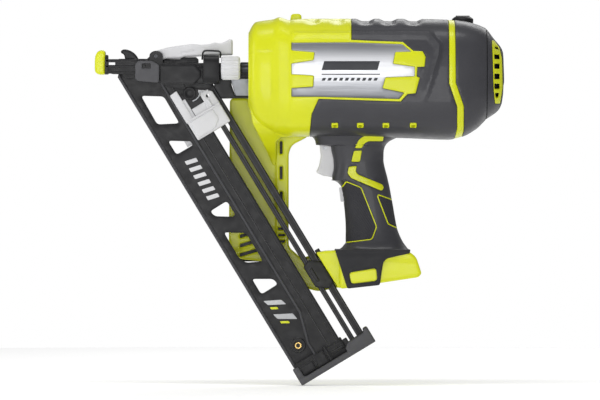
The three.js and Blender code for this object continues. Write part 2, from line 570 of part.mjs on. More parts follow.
function buildMagazine() {
  const sheet = down([[0, topEdge(0) + 0.4], [46, topEdge(46) + 0.4], [46, MAG_LENGTH], [0, MAG_LENGTH]]);
  const sheetBody = plate(sheet, -4.9, -MAG_SLOT);
  const ridgeSide = down([[28, 17.5], [46, 28.4], [46, MAG_LENGTH], [20, MAG_LENGTH], [28, 248]]);
  const ridge = plate(ridgeSide, -MAG_SIDE, -4.6);
  const rimSide = down([[0, topEdge(0) + 0.4], [4, topEdge(4) + 0.4], [4, MAG_LENGTH], [0, MAG_LENGTH]]);
  const rim = plate(rimSide, -6.4, -4.6);
  const boss = rod([SCREW.x, -7, SCREW.z], [SCREW.x, -4, SCREW.z], 6, 16);
  const holes = WINDOWS.map((points) => plate(rounded(down(points), 3), -12, 12));
  const screwHole = rod([SCREW.x, -20, SCREW.z], [SCREW.x, 20, SCREW.z], 2.3, 12);
  const side = cut(join(sheetBody, ridge, rim, boss), ...holes, screwHole);
  add("magazine_left", "black", side, magazine);
  add("magazine_right", "black", mirrorY(side), magazine);
  const across = (y0, y1, radius, sides) =>
    rod([SCREW.x, y0, SCREW.z], [SCREW.x, y1, SCREW.z], radius, sides);
  add("magazine_screw", "brass", join(across(-8, 7.1, 2, 12), across(-8.6, -7.3, 3.8, 12)), magazine);
  const flatRail = plate(down([[53, 33.4], [57.4, 36], [57.4, 291.6], [53, 291.6]]), -6, 6);
  add("head_rail", "black", flatRail, magazine);
  const channel = plate(down([[60, 38], [66.3, 41.6], [66.3, 291.6], [60, 291.6]]), -6.5, 6.5);
  add("guide_rail", "black", cut(channel, box(59, 64.6, -2.2, 2.2, -300, -30)), magazine);
  const capSide = down([[-1.7, 292.2], [71.4, 292.2], [71.4, 302.6], [-1.7, 302.6]]);
  const capPlate = plate(rounded(capSide, 2), -13, 13, 1);
  const capBlock = plate(rounded(down([[67, 286], [71.4, 286], [71.4, 300], [67, 300]]), 1.5), -10, 10, 1);
  const capLug = box(47.5, 51.5, -8, 8, -297, -280);
  add("magazine_end_cap", "charcoal", join(capPlate, capBlock, capLug), magazine);
  const bracket = plate(down([[66.7, 210], [71, 210], [71, 232], [66.7, 232]]), -6.5, 11);
  add("magazine_bracket", "black", bracket, magazine);
  const pusherFace = plate(rounded(down([[30.6, 60], [63, 60], [63, 79], [30.6, 79]]), 1.5), -14, -8.9, 0.8);
  const wing = plate(down([[29.8, 34], [37.4, 34], [37.4, 62], [29.8, 62]]), -12.4, -8.9, 0.6);
  const arm = plate(down([[53, 42], [62.6, 48.8], [63, 62], [52, 62], [52, 44]]), -12.4, -8.9, 0.6);
  const stem = box(46.6, 52.4, -9.2, 1.4, -79, -60);
  const tongue = box(20, 50, -1.4, 1.4, -79, -66);
  add("nail_pusher", "pale", join(pusherFace, wing, arm, stem, tongue), magazine);
  add("pusher_roller", "black", rod([45.2, -11.6, -41], [45.2, -9.1, -41], 5.4, 18), magazine);
  const bends = [[44, -48], [50.4, -47.4], [53, -44.6], [55.6, -46]].map(([x, z]) => [x, -13.3, z]);
  const wire = bends.slice(1).map((end, i) => rod(bends[i], end, 0.7, 8));
  add("pusher_clip", "steel", join(...wire), magazine);
}

buildBarrel();
buildHandle();
buildColumn();
buildDrive();
buildNose();
buildMagazine();

export default nailer;
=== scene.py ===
"""Looks of a cordless finish nailer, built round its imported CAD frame.

Shapes are written in millimetres in the CAD frame: X runs back from the nose pad, Z is up, -Y is the left side.
Most pieces are patches: an outline filled with a fine mesh, laid on a curved skin or a plane, with rounded rims.
"""
import json
import math

import bmesh
import bpy
import numpy as np
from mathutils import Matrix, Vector
from mathutils.geometry import delaunay_2d_cdt


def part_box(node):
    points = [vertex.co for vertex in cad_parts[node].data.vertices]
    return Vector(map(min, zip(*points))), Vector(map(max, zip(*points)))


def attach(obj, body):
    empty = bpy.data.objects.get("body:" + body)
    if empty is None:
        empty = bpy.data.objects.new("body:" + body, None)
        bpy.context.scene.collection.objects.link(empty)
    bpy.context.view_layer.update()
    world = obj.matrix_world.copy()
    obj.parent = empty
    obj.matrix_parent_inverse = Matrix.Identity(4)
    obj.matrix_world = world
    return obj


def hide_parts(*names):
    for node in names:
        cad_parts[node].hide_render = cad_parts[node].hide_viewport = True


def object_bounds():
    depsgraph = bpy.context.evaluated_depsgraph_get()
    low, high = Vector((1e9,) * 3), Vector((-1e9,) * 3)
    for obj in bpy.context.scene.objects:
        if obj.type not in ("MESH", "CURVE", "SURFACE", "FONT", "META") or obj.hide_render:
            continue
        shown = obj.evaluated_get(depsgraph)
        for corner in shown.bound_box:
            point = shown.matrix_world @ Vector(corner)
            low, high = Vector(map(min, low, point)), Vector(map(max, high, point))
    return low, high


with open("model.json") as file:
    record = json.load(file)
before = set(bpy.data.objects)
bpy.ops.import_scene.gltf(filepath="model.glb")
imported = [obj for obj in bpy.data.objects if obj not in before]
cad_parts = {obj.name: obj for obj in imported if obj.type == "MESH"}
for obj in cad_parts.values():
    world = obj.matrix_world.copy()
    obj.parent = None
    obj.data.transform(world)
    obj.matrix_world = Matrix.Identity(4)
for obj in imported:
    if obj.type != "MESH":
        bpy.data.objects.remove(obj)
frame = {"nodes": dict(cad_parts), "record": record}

CAD_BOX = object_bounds()
MM = 0.001
GAP = 0.25               # seam between neighbouring pieces
RIM = 0.5                # usual rounding of a moulded edge
FLAT, EDGE = 1.5, 32     # degrees: CAD faces that meet flatter are joined, and edges sharper are rounded


def span(node):
    """Lowest and highest corner of a CAD node in millimetres."""
    low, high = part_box(node)
    return low / MM, high / MM


BORE_X = span("housing_left")[0].x
CAP_X = span("rear_cap")[0].x
REAR_X = span("rear_cap")[1].x
SLOT_OF = {row["node"]: row["material_slot"] for row in frame["record"]["subparts"]}
BODY_OF = {node: body for body, nodes in frame["record"]["behaviour"]["bodies"].items() for node in nodes}


# ---------------------------------------------------------------- materials
def srgb(code):
    """A hex colour as linear red, green, blue, alpha."""
    parts = [int(code[i:i + 2], 16) / 255 for i in (0, 2, 4)]
    return [c / 12.92 if c < 0.04045 else ((c + 0.055) / 1.055) ** 2.4 for c in parts] + [1.0]


class Nodes:
    """A short way to write shader nodes."""

    def __init__(self, name):
        self.material = bpy.data.materials.new(name)
        self.material.use_nodes = True
        self.tree = self.material.node_tree
        self.shader = self.tree.nodes["Principled BSDF"]
        self.place = self.node("ShaderNodeTexCoord").outputs["Object"]

    def node(self, kind, **values):
        made = self.tree.nodes.new(kind)
        for key, value in values.items():
            setattr(made, key, value)
        return made

    def link(self, source, target):
        self.tree.links.new(source, target)

    def noise(self, scale, detail=3.0, stretch=(1, 1, 1)):
        mapping = self.node("ShaderNodeMapping")
        mapping.inputs["Scale"].default_value = stretch
        self.link(self.place, mapping.inputs["Vector"])
        noise = self.node("ShaderNodeTexNoise")
        noise.inputs["Scale"].default_value = scale
        noise.inputs["Detail"].default_value = detail
        self.link(mapping.outputs["Vector"], noise.inputs["Vector"])
        return noise.outputs["Fac"]

    def fit(self, value, low, high, to_low, to_high):
        ranged = self.node("ShaderNodeMapRange")
        ends = (("From Min", low), ("From Max", high), ("To Min", to_low), ("To Max", to_high))
        for key, number in ends:
            ranged.inputs[key].default_value = number
        self.link(value, ranged.inputs["Value"])
        return ranged.outputs["Result"]

    def mix(self, share, first, second):
        blend = self.node("ShaderNodeMix", data_type="RGBA")
        for socket, value in ((blend.inputs[0], share), (blend.inputs[6], first), (blend.inputs[7], second)):
            if isinstance(value, bpy.types.NodeSocket):
                self.link(value, socket)
            else:
                socket.default_value = value
        return blend.outputs[2]

    def edges(self, radius):
        """1 on outside and inside edges, 0 on open surface: the mask for rubbed wear and for painted edge highlights.
        """
        bevel = self.node("ShaderNodeBevel", samples=4)
        bevel.inputs["Radius"].default_value = radius
        plain = self.node("ShaderNodeNewGeometry").outputs["Normal"]
        dot = self.node("ShaderNodeVectorMath", operation="DOT_PRODUCT")
        self.link(bevel.outputs["Normal"], dot.inputs[0])
        self.link(plain, dot.inputs[1])
        return self.fit(dot.outputs["Value"], 0.99, 0.8, 0, 1)

    def bump(self, height, strength, distance):
        """Surface grain on the shader's normal."""
        bump = self.node("ShaderNodeBump")
        bump.inputs["Strength"].default_value = strength
        bump.inputs["Distance"].default_value = distance
        self.link(height, bump.inputs["Height"])
        self.link(bump.outputs["Normal"], self.shader.inputs["Normal"])


WEAR_AND_HIGHLIGHT_WIDTH = 0.0005      # metres of an edge that is painted paler, partly as rubbed wear and partly as a painted highlight


def finish(name, colour, rough, metal=0.0, spread=0.08, grain=(2200, 0.12), wear_and_highlight=0.25, coat=0.0,
           streak=(1, 1, 1), edge=0.03):
    """A moulded or metal finish: mottled colour, surface grain, uneven gloss, and paler edges that are partly rubbed
    wear and partly a painted highlight.

    spread is how far the mottling goes from the colour, grain is the (scale, strength) of the bump, the two edge
    settings say how strongly and how much paler the edges are painted, partly as rubbed wear and partly as a painted
    highlight, and streak stretches the grain along X, Y and Z.
    """
    n = Nodes(name)
    base = srgb(colour)
    dark = [c * (1 - spread) for c in base[:3]] + [1]
    light = [min(1, c * (1 + spread)) for c in base[:3]] + [1]
    cloud = n.fit(n.noise(38, 4), 0.35, 0.65, 0, 1)
    shade = n.mix(cloud, dark, light)
    # Paler edge colour: partly rubbed wear, partly a painted highlight where light would catch the edges.
    worn_and_lit_edge = [min(1, c * 1.35 + edge) for c in base[:3]] + [1]
    wear_and_highlight_mask = n.node("ShaderNodeMath", operation="MULTIPLY")
    n.link(n.edges(WEAR_AND_HIGHLIGHT_WIDTH), wear_and_highlight_mask.inputs[0])
    wear_and_highlight_mask.inputs[1].default_value = wear_and_highlight
    shade = n.mix(wear_and_highlight_mask.outputs[0], shade, worn_and_lit_edge)
    n.link(shade, n.shader.inputs["Base Color"])
    n.link(n.fit(n.noise(160, 5), 0.3, 0.7, rough - 0.07, rough + 0.07), n.shader.inputs["Roughness"])
    n.shader.inputs["Metallic"].default_value = metal
    n.shader.inputs["Coat Weight"].default_value = coat
    n.shader.inputs["Specular IOR Level"].default_value = 0.5 if metal else 0.28
    n.bump(n.noise(grain[0], 2, streak), grain[1], 0.0002)
    return n.material


def silver_panel():
    """Brushed silver film, with painted shade darker towards its upper and lower edge and a painted reflection bright
    across its middle.
    """
    n = Nodes("silver")
    low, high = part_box("side_panel_left")
    split = n.node("ShaderNodeSeparateXYZ")
    n.link(n.place, split.inputs[0])
    height = n.fit(split.outputs["Z"], low.z, high.z, 0, 1)
    # Colour by height: painted shade towards the upper and lower edge and a painted reflection band in the middle,
    # standing in for light on a curved metal sheet.
    painted_reflection_ramp = n.node("ShaderNodeValToRGB")
    painted_reflection_stops = ((0.0, "5e6064"), (0.2, "a2a4a9"), (0.42, "e2e3e6"), (0.7, "d8d9dd"), (0.86, "8b8d92"),
             (1.0, "65676b"))
    for place, code in painted_reflection_stops[1:-1]:
        painted_reflection_ramp.color_ramp.elements.new(place).color = srgb(code)
    painted_reflection_ramp.color_ramp.elements[0].color = srgb(painted_reflection_stops[0][1])
    painted_reflection_ramp.color_ramp.elements[-1].color = srgb(painted_reflection_stops[-1][1])
    n.link(height, painted_reflection_ramp.inputs["Fac"])
    brushed = n.noise(900, 3, (0.03, 1, 1))
    tint = n.mix(n.fit(brushed, 0.3, 0.7, 0, 0.16), painted_reflection_ramp.outputs["Color"], srgb("9a9ca1"))
    n.link(tint, n.shader.inputs["Base Color"])
    n.link(n.fit(brushed, 0.3, 0.7, 0.3, 0.46), n.shader.inputs["Roughness"])
    n.shader.inputs["Metallic"].default_value = 0.35
    n.bump(brushed, 0.05, 0.0001)
    return n.material


FINISH = {
    "lime": finish("lime", "cfd418", 0.36, spread=0.03, grain=(2600, 0.05), wear_and_highlight=0.35, coat=0.12),
    "overmold": finish("overmold", "3b3b3f", 0.42, spread=0.06, grain=(3000, 0.22), wear_and_highlight=0.3, coat=0.1),
    "black": finish("black", "19191b", 0.42, spread=0.1, grain=(2400, 0.16), wear_and_highlight=0.8, edge=0.1),
    "charcoal": finish("charcoal", "4a4a4d", 0.46, spread=0.07, grain=(2400, 0.14), wear_and_highlight=0.6, edge=0.08),
    "pale": finish("pale", "cfcfd1", 0.42, spread=0.03, grain=(2600, 0.08), wear_and_highlight=0.3),
    "silver": silver_panel(),
    "steel": finish("steel", "a5a7ab", 0.32, 1.0, grain=(1500, 0.08), wear_and_highlight=0.4, streak=(0.05, 1, 1)),
    "casting": finish("casting", "8b8d92", 0.5, 0.85, spread=0.1, grain=(1300, 0.35), wear_and_highlight=0.5),
    "brass": finish("brass", "c2a566", 0.28, 1.0, grain=(1500, 0.05), wear_and_highlight=0.4),
    "copper": finish("copper", "a8623a", 0.4, 0.9, grain=(1200, 0.2)),
    "board": finish("board", "1f5a3a", 0.5, grain=(1500, 0.1)),
    "rubber": finish("rubber", "222224", 0.85, grain=(2600, 0.25)),
    # A lighter copy of the black: painted highlight for the magazine's edge strips and the rail lines.
    "black_highlight": finish("black_highlight", "3c3c3f", 0.42, spread=0.08, grain=(2400, 0.16), wear_and_highlight=0.8, edge=0.1),
    "saddle": finish("saddle", "202023", 0.5, spread=0.06, grain=(3000, 0.3), wear_and_highlight=0.3),
    "dark_steel": finish("dark_steel", "3a3b3e", 0.36, 0.8, grain=(1500, 0.08), wear_and_highlight=0.4, streak=(0.05, 1, 1)),
    "grip": finish("grip", "313135", 0.66, spread=0.08, grain=(900, 0.9), wear_and_highlight=0.2),
    "print": finish("print", "3a3b3f", 0.5, grain=(2600, 0.03), wear_and_highlight=0.0),
    "print_pale": finish("print_pale", "b9babd", 0.5, grain=(2600, 0.03), wear_and_highlight=0.0),
}


# ---------------------------------------------------------------- outlines
def rounded(points, radius, steps=5):
    """A closed outline with its corners rounded."""
    out = []
    for i, (x, z) in enumerate(points):
        before, after = points[i - 1], points[(i + 1) % len(points)]
        back, ahead = math.dist(before, (x, z)), math.dist(after, (x, z))
        reach = min(radius, back / 2.1, ahead / 2.1)
        start = [c + (b - c) * reach / back for c, b in zip((x, z), before)]
        end = [c + (a - c) * reach / ahead for c, a in zip((x, z), after)]
        for k in range(steps + 1):
            t = k / steps
            out.append([(1 - t) ** 2 * s + 2 * t * (1 - t) * c + t * t * e
                        for s, c, e in zip(start, (x, z), end)])
    return out


def dense(points, step, closed=True):
    """Points no further than step apart along an outline."""
    ends = points[1:] + points[:1] if closed else points[1:]
    out = []
    for (x0, z0), (x1, z1) in zip(points, ends):
        count = max(1, math.ceil(math.dist((x0, z0), (x1, z1)) / step))
        out += [[x0 + (x1 - x0) * k / count, z0 + (z1 - z0) * k / count] for k in range(count)]
    return out if closed else out + [list(points[-1])]


def grown(points, by):
    """An outline moved outwards (inwards when by is negative)."""
    p = np.array(points, float)
    area = np.sum(p[:, 0] * np.roll(p[:, 1], -1) - np.roll(p[:, 0], -1) * p[:, 1])
    along = np.roll(p, -1, 0) - p
    along /= np.linalg.norm(along, axis=1)[:, None]
    before = np.roll(along, 1, 0)
    scale = np.sign(area) * by / np.maximum(0.3, 1 + np.sum(along * before, 1))
    both = along + before
    return (p + np.stack([both[:, 1], -both[:, 0]], 1) * scale[:, None]).tolist()


def disc(x, z, radius, count=28):
    """A circle as an outline."""
    turns = [2 * math.pi * i / count for i in range(count)]
    return [[x + radius * math.cos(a), z + radius * math.sin(a)] for a in turns]


def rect(x0, x1, z0, z1):
    return [[x0, z0], [x1, z0], [x1, z1], [x0, z1]]


def to_lines(points, loops):
    """Distance of each point to the nearest segment of the loops."""
    best = np.full(len(points), 1e9)
    for loop in loops:
        a = np.array(loop, float)
        ab = np.roll(a, -1, 0) - a
        length = np.maximum(np.sum(ab * ab, 1), 1e-12)
        for k in range(0, len(points), 2000):
            ap = points[k:k + 2000, None] - a[None]
            t = np.clip(np.sum(ap * ab, 2) / length, 0, 1)
            gap = np.linalg.norm(ap - t[..., None] * ab, axis=2).min(1)
            best[k:k + 2000] = np.minimum(best[k:k + 2000], gap)
    return best


def inside(points, loop):
    """Which points lie inside a closed loop."""
    a = np.array(loop, float)
    b = np.roll(a, -1, 0)
    x, z = points[:, 0, None], points[:, 1, None]
    crosses = (a[:, 1] > z) != (b[:, 1] > z)
    rise = np.where(np.abs(b[:, 1] - a[:, 1]) < 1e-12, 1e-12, b[:, 1] - a[:, 1])
    where = a[:, 0] + (z - a[:, 1]) * (b[:, 0] - a[:, 0]) / rise
    return np.sum(crosses & (x < where), 1) % 2 == 1


# ---------------------------------------------------------------- surfaces
class Skin:
    """A rounded-rectangle loft along X (the barrel) or along Z (the handle).

    A station is (place along, high side, low side, half width). A place on the left half of the skin is
    (along, angle), where the angle runs from -90 at the low seam to 90 at the high seam.
    """

    def __init__(self, stations, power, upright=False):
        self.power, self.upright = power, upright
        table = np.array(stations, float)
        self.t, self.y = table[:, 0], table[:, 1:]
        steps = np.diff(self.y, axis=0) / np.diff(self.t)[:, None]
        product = steps[:-1] * steps[1:]
        mean = 2 * product / np.where(np.abs(steps[:-1] + steps[1:]) < 1e-9, 1, steps[:-1] + steps[1:])
        self.slope = np.vstack([steps[:1], np.where(product > 0, mean, 0), steps[-1:]])

    def sizes(self, along):
        x = np.clip(along, self.t[0], self.t[-1])
        i = np.clip(np.searchsorted(self.t, x, side="right") - 1, 0, len(self.t) - 2)
        h = self.t[i + 1] - self.t[i]
        s = ((x - self.t[i]) / h)[:, None]
        h = h[:, None]
        start = (2 * s ** 3 - 3 * s ** 2 + 1) * self.y[i] + (s ** 3 - 2 * s ** 2 + s) * h * self.slope[i]
        end = (3 * s ** 2 - 2 * s ** 3) * self.y[i + 1] + (s ** 3 - s ** 2) * h * self.slope[i + 1]
        high, low, half = (start + end).T
        return (high + low) / 2, (high - low) / 2, half

    def __call__(self, places, lift):
        middle, tall, half = self.sizes(places[:, 0])
        turn = np.radians(places[:, 1])
        c, s = np.cos(turn), np.sin(turn)
        tall, half = tall + lift, half + lift
        reach = (np.abs(c / half) ** self.power + np.abs(s / tall) ** self.power) ** (-1 / self.power)
        w, y = middle + reach * s, -reach * c
        if self.upright:
            return np.stack([w, y, places[:, 0]], 1)
        return np.stack([places[:, 0], y, w], 1)

    def trace(self, points):
        """Side-view points (x, z) as places on the skin."""
        p = np.array(points, float)
        along, w = (p[:, 1], p[:, 0]) if self.upright else (p[:, 0], p[:, 1])
        middle, tall, half = self.sizes(along)
        share = np.clip((w - middle) / tall, -1, 1)
        y = half * (1 - np.abs(share) ** self.power) ** (1 / self.power)
        angle = np.degrees(np.arctan2(share * tall, y))
        return np.stack([along, angle], 1).tolist()


def side_plane(y):
    """A plane facing the left side at that Y."""
    return lambda places, lift: np.stack([places[:, 0], y - lift, places[:, 1]], 1)


def front_plane(x):
    """A plane facing the nose, whose places are (y, z)."""
    return lambda places, lift: np.stack([x - lift, places[:, 0], places[:, 1]], 1)


def top_plane(z):
    """A plane facing up, whose places are (x, y)."""
    return lambda places, lift: np.stack([places[:, 0], places[:, 1], z + lift], 1)


def patch(surface, loops, lift=0.0, depth=2.0, rim=RIM, step=3.0, relief=None, creases=(), back_rim=0.0):
    """A closed solid over an outline with holes: a fine top skin with rounded rims, straight walls, and a back.

    step is the mesh size, rim and back_rim round the edges of the top and the back, relief(u, v, place) raises the
    top, and creases are lines that the mesh follows.
    """
    loops = [without_doubles(dense(list(map(list, loop)), step * 0.7)) for loop in loops]
    outer = np.array(loops[0])
    low, high = outer.min(0), outer.max(0)
    columns = np.arange(low[0] + step / 2, high[0], step)
    rows = np.arange(low[1] + step / 2, high[1], step * 0.87)
    grid = np.array([[x + (step / 2 if j % 2 else 0), z] for j, z in enumerate(rows) for x in columns])
    grid = grid.reshape(-1, 2)

    def kept(points):
        if not len(points):
            return np.zeros(0, bool)
        result = inside(points, loops[0])
        for hole in loops[1:]:
            result &= ~inside(points, hole)
        return result

    grid = grid[kept(grid)]
    if len(grid):
        grid = grid[to_lines(grid, loops) > rim + 0.3 * step]
    rings = []
    big_rim = max(rim, back_rim)
    for share in ((0.1, 0.3, 0.6, 1.0) if big_rim > 1.2 else (0.3, 1.0)):
        for loop in loops:
            for by in (share * big_rim, -share * big_rim):
                ring = np.array(grown(loop, by))
                ring = ring[kept(ring)]
                if len(ring):
                    rings.append(ring[to_lines(ring, loops) > 0.9 * share * big_rim])
    points = [p for loop in loops for p in loop]
    edges, at = [], 0
    for loop in loops:
        edges += [(at + i, at + (i + 1) % len(loop)) for i in range(len(loop))]
        at += len(loop)
    for crease in creases:
        line = np.array(dense([list(p) for p in crease], step, closed=False))
        good = kept(line) & (to_lines(line, loops) > 0.4 * big_rim)
        for i in range(len(line) - 1):
            if good[i] and good[i + 1]:
                edges.append((len(points) + i, len(points) + i + 1))
        points += line.tolist()
    points += [p for ring in rings for p in ring.tolist()] + grid.tolist()
    made = delaunay_2d_cdt([Vector(p) for p in points], edges, [], 0, 1e-5)
    flat = np.array([tuple(v) for v in made[0]])
    faces = [f for f in made[2] if len(f) == 3]
    centres = flat[np.array(faces)].mean(1)
    faces = [f for f, keep in zip(faces, kept(centres)) if keep]
    used = sorted({v for f in faces for v in f})
    renumber = {v: i for i, v in enumerate(used)}
    flat = flat[used]
    faces = [tuple(renumber[v] for v in f) for f in faces]
    near = to_lines(flat, loops)

    def drop(radius):
        reach = np.clip(radius - near, 0, radius)
        return radius - np.sqrt(np.maximum(radius ** 2 - reach ** 2, 0))

    height = lift - drop(rim)
    if relief:
        height = height + relief(flat[:, 0], flat[:, 1], surface(flat, np.zeros(len(flat))))
    front = surface(flat, height)
    back = surface(flat, lift - depth + drop(back_rim))
    sides = {}
    for a, b, c in faces:
        for edge in ((a, b), (b, c), (c, a)):
            sides[edge] = sides.get(edge, 0) + 1
    count = len(flat)
    solid = [tuple(f) for f in faces] + [tuple(v + count for v in reversed(f)) for f in faces]
    solid += [(b, a, a + count, b + count) for a, b in sides if (b, a) not in sides]
    return np.vstack([front, back]), solid


def without_doubles(loop):
    """A loop without doubled points."""
    return [p for i, p in enumerate(loop) if math.dist(p, loop[i - 1]) > 0.02]


def plate(y, outline, depth, rim=RIM, step=3.0, corner=None, plane=side_plane, back_rim=0.0, **more):
    """A flat solid whose left face is at that Y. corner is the radius of its corners, and the points on each."""
    if corner:
        outline = rounded(outline, *corner)
    return patch(plane(y), [outline], depth=depth, rim=rim, step=step, back_rim=back_rim, **more)


def tube(path, radius, sides):
    """A round bar along a list of points, with softly closed ends."""
    p = np.array(path, float)
    verts = []
    ahead = np.gradient(p, axis=0)
    up = np.array([0.0, 1.0, 0.0])
    rings = [(0, 0.35), *[(i, 1.0) for i in range(len(p))], (len(p) - 1, 0.35)]
    for k, (i, share) in enumerate(rings):
        direction = ahead[i] / np.linalg.norm(ahead[i])
        side = np.cross(direction, up)
        if np.linalg.norm(side) < 1e-6:
            side = np.array([1.0, 0, 0])
        side /= np.linalg.norm(side)
        other = np.cross(side, direction)
        r = radius * share
        push = direction * r * (-1.2 if k == 0 else 1.2) * (share < 1)
        for s in range(sides):
            a = 2 * math.pi * s / sides
            verts.append(p[i] + push + r * (math.cos(a) * side + math.sin(a) * other))
    return np.array(verts), rings_closed(len(rings), sides)


def rings_closed(rings, count):
    """The faces of a closed solid through rings of points, with a flat face on each end."""
    faces = []
    for k in range(rings - 1):
        for s in range(count):
            a, b = k * count + s, k * count + (s + 1) % count
            faces.append((a, b, b + count, a + count))
    last = (rings - 1) * count
    return faces + [tuple(range(count))[::-1], tuple(range(last, last + count))]


def turned(profile, centre, axis="z", count=40, wave=None):
    """A solid of revolution. The profile is (along the axis, radius); wave(angle) scales the radius."""
    verts = []
    for along, radius in profile:
        for s in range(count):
            a = 2 * math.pi * s / count
            r = radius * (wave(a) if wave else 1)
            u, v = r * math.cos(a), r * math.sin(a)
            offset = {"x": (along, u, v), "y": (u, along, v), "z": (u, v, along)}[axis]
            verts.append([c + o for c, o in zip(centre, offset)])
    return np.array(verts), rings_closed(len(profile), count)


def mirrored(solids):
    """The same solids on the other side of the tool."""
    return [(verts * (1, -1, 1), [tuple(reversed(f)) for f in faces]) for verts, faces in solids]


# ---------------------------------------------------------------- pieces
def piece(name, solids, slot, body="tool", nodes=(), look=None, sharp=48):
    """One object of closed solids that rides on a body and stands for CAD nodes.

    look is a finish other than the slot's own, and edges sharper than that many degrees stay sharp.
    """
    mesh = bpy.data.meshes.new(name)
    verts, faces = [], []
    for points, polygons in solids:
        faces += [tuple(v + len(verts) for v in f) for f in polygons]
        verts += (np.asarray(points) * MM).tolist()
    mesh.from_pydata(verts, [], faces)
    made = bmesh.new()
    made.from_mesh(mesh)
    bmesh.ops.recalc_face_normals(made, faces=made.faces)
    made.to_mesh(mesh)
    made.free()
    mesh.polygons.foreach_set("use_smooth", [True] * len(mesh.polygons))
    mesh.set_sharp_from_angle(angle=math.radians(sharp))
    mesh.materials.append(FINISH[look or slot])
    made_object = bpy.data.objects.new(name, mesh)
    bpy.context.scene.collection.objects.link(made_object)
    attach(made_object, body)
    if nodes:
        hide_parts(*nodes)


def both_sides(name, solids, slot, nodes=(), look=None, sharp=48):
    """The same piece on the left and the right; {} in a name stands for the side."""
    for side, shapes in (("left", solids), ("right", mirrored(solids))):
        piece(name.format(side), shapes, slot, nodes=[n.format(side) for n in nodes], look=look, sharp=sharp)


def eased(node, width):
    """A CAD node with its edges rounded over, as a piece that stands for it."""
    source = frame["nodes"][node]
    mesh = source.data.copy()
    work = bmesh.new()
    work.from_mesh(mesh)
    bmesh.ops.remove_doubles(work, verts=work.verts, dist=2e-6)
    bmesh.ops.dissolve_limit(work, angle_limit=math.radians(FLAT), verts=work.verts, edges=work.edges)
    work.to_mesh(mesh)
    work.free()
    mesh.name = node + "_shape"
    made = bpy.data.objects.new(node + "_shape", mesh)
    bpy.context.scene.collection.objects.link(made)
    mesh.materials.clear()
    mesh.materials.append(FINISH[SLOT_OF[node]])
    mesh.polygons.foreach_set("use_smooth", [True] * len(mesh.polygons))
    bevel = made.modifiers.new("round", "BEVEL")
    bevel.width, bevel.segments, bevel.limit_method = width * MM, 2, "ANGLE"
    bevel.angle_limit = math.radians(EDGE)
    bevel.miter_outer = "MITER_ARC"
    weighted = made.modifiers.new("shade", "WEIGHTED_NORMAL")
    weighted.keep_sharp = True
    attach(made, BODY_OF[node])
    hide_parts(node)


def paint(node, look=None):
    """A CAD node that keeps its own mesh, with a full finish."""
    shown = frame["nodes"][node]
    shown.data.materials.clear()
    shown.data.materials.append(FINISH[look or SLOT_OF[node]])


def smoothstep(low, high, value):
    """0 up to low and 1 from high on, with a smooth rise between them."""
    t = np.clip((value - low) / (high - low), 0, 1)
    return t * t * (3 - 2 * t)


# ---------------------------------------------------------------- camera, floor and light
CAMERA_AIM = Vector((0.17425, 0, -0.1156))
CAMERA_DISTANCE = 5.0
PICTURE_WIDTH = 0.51     # metres across the picture at the tool
FLOOR_REACH = 1.3
WHITE = (1, 1, 1, 1)
SOFTBOXES = (            # name, place, size and watts
    ("key", (0.15, -0.55, 1.35), (1.3, 0.4), 11),
    ("front", (-0.2, -2.2, -0.4), (1.6, 1.1), 30),
    ("side", (-1.2, -0.7, 0.1), (0.5, 1.1), 5),
    ("back", (0.6, 1.2, 0.9), (1.2, 0.8), 8),
)


def build_studio():
    scene = bpy.context.scene
    camera = bpy.data.cameras.new("camera")
    camera.sensor_width = 36
    camera.lens = camera.sensor_width * CAMERA_DISTANCE / PICTURE_WIDTH
    camera.clip_end = 50
    holder = bpy.data.objects.new("camera", camera)
    holder.location = CAMERA_AIM - Vector((0, CAMERA_DISTANCE, 0))
    holder.rotation_euler = (math.radians(90), 0, 0)
    scene.collection.objects.link(holder)
    scene.camera = holder
    scene.view_settings.view_transform = "Standard"

    floor_mesh = bpy.data.meshes.new("floor")
    level = CAD_BOX[0].z - 0.0005
    ring = [(CAMERA_AIM.x + x, y, level) for x, y in disc(0, 0, FLOOR_REACH, 96)]
    floor_mesh.from_pydata(ring, [], [tuple(range(len(ring)))])
    floor = bpy.data.objects.new("floor", floor_mesh)
    scene.collection.objects.link(floor)
    paper = Nodes("paper")
    tone = paper.mix(paper.noise(6), srgb("f4f4f4"), srgb("f8f8f8"))
    paper.link(tone, paper.shader.inputs["Base Color"])
    paper.shader.inputs["Roughness"].default_value = 0.9
    paper.shader.inputs["Emission Color"].default_value = WHITE
    paper.shader.inputs["Emission Strength"].default_value = 0.32
    floor_mesh.materials.append(paper.material)

    # A white world that the camera sees brighter than it lights.
    world = bpy.data.worlds.new("studio")
    scene.world = world
    world.use_nodes = True
    tree = world.node_tree
    sky = tree.nodes["Background"]
    sky.inputs["Color"].default_value = WHITE
    sky.inputs["Strength"].default_value = 0.3
    seen = tree.nodes.new("ShaderNodeBackground")
    seen.inputs["Color"].default_value = WHITE
    ray = tree.nodes.new("ShaderNodeLightPath")
    choice = tree.nodes.new("ShaderNodeMixShader")
    tree.links.new(ray.outputs["Is Camera Ray"], choice.inputs["Fac"])
    tree.links.new(sky.outputs[0], choice.inputs[1])
    tree.links.new(seen.outputs[0], choice.inputs[2])
    tree.links.new(choice.outputs[0], tree.nodes["World Output"].inputs["Surface"])

    for name, place, size, power in SOFTBOXES:
        light = bpy.data.lights.new(name, "AREA")
        light.shape, light.size, light.size_y, light.energy = "RECTANGLE", size[0], size[1], power
        lamp = bpy.data.objects.new(name, light)
        lamp.location = Vector(place)
        lamp.rotation_euler = (CAMERA_AIM - lamp.location).to_track_quat("-Z", "Y").to_euler()
        scene.collection.objects.link(lamp)


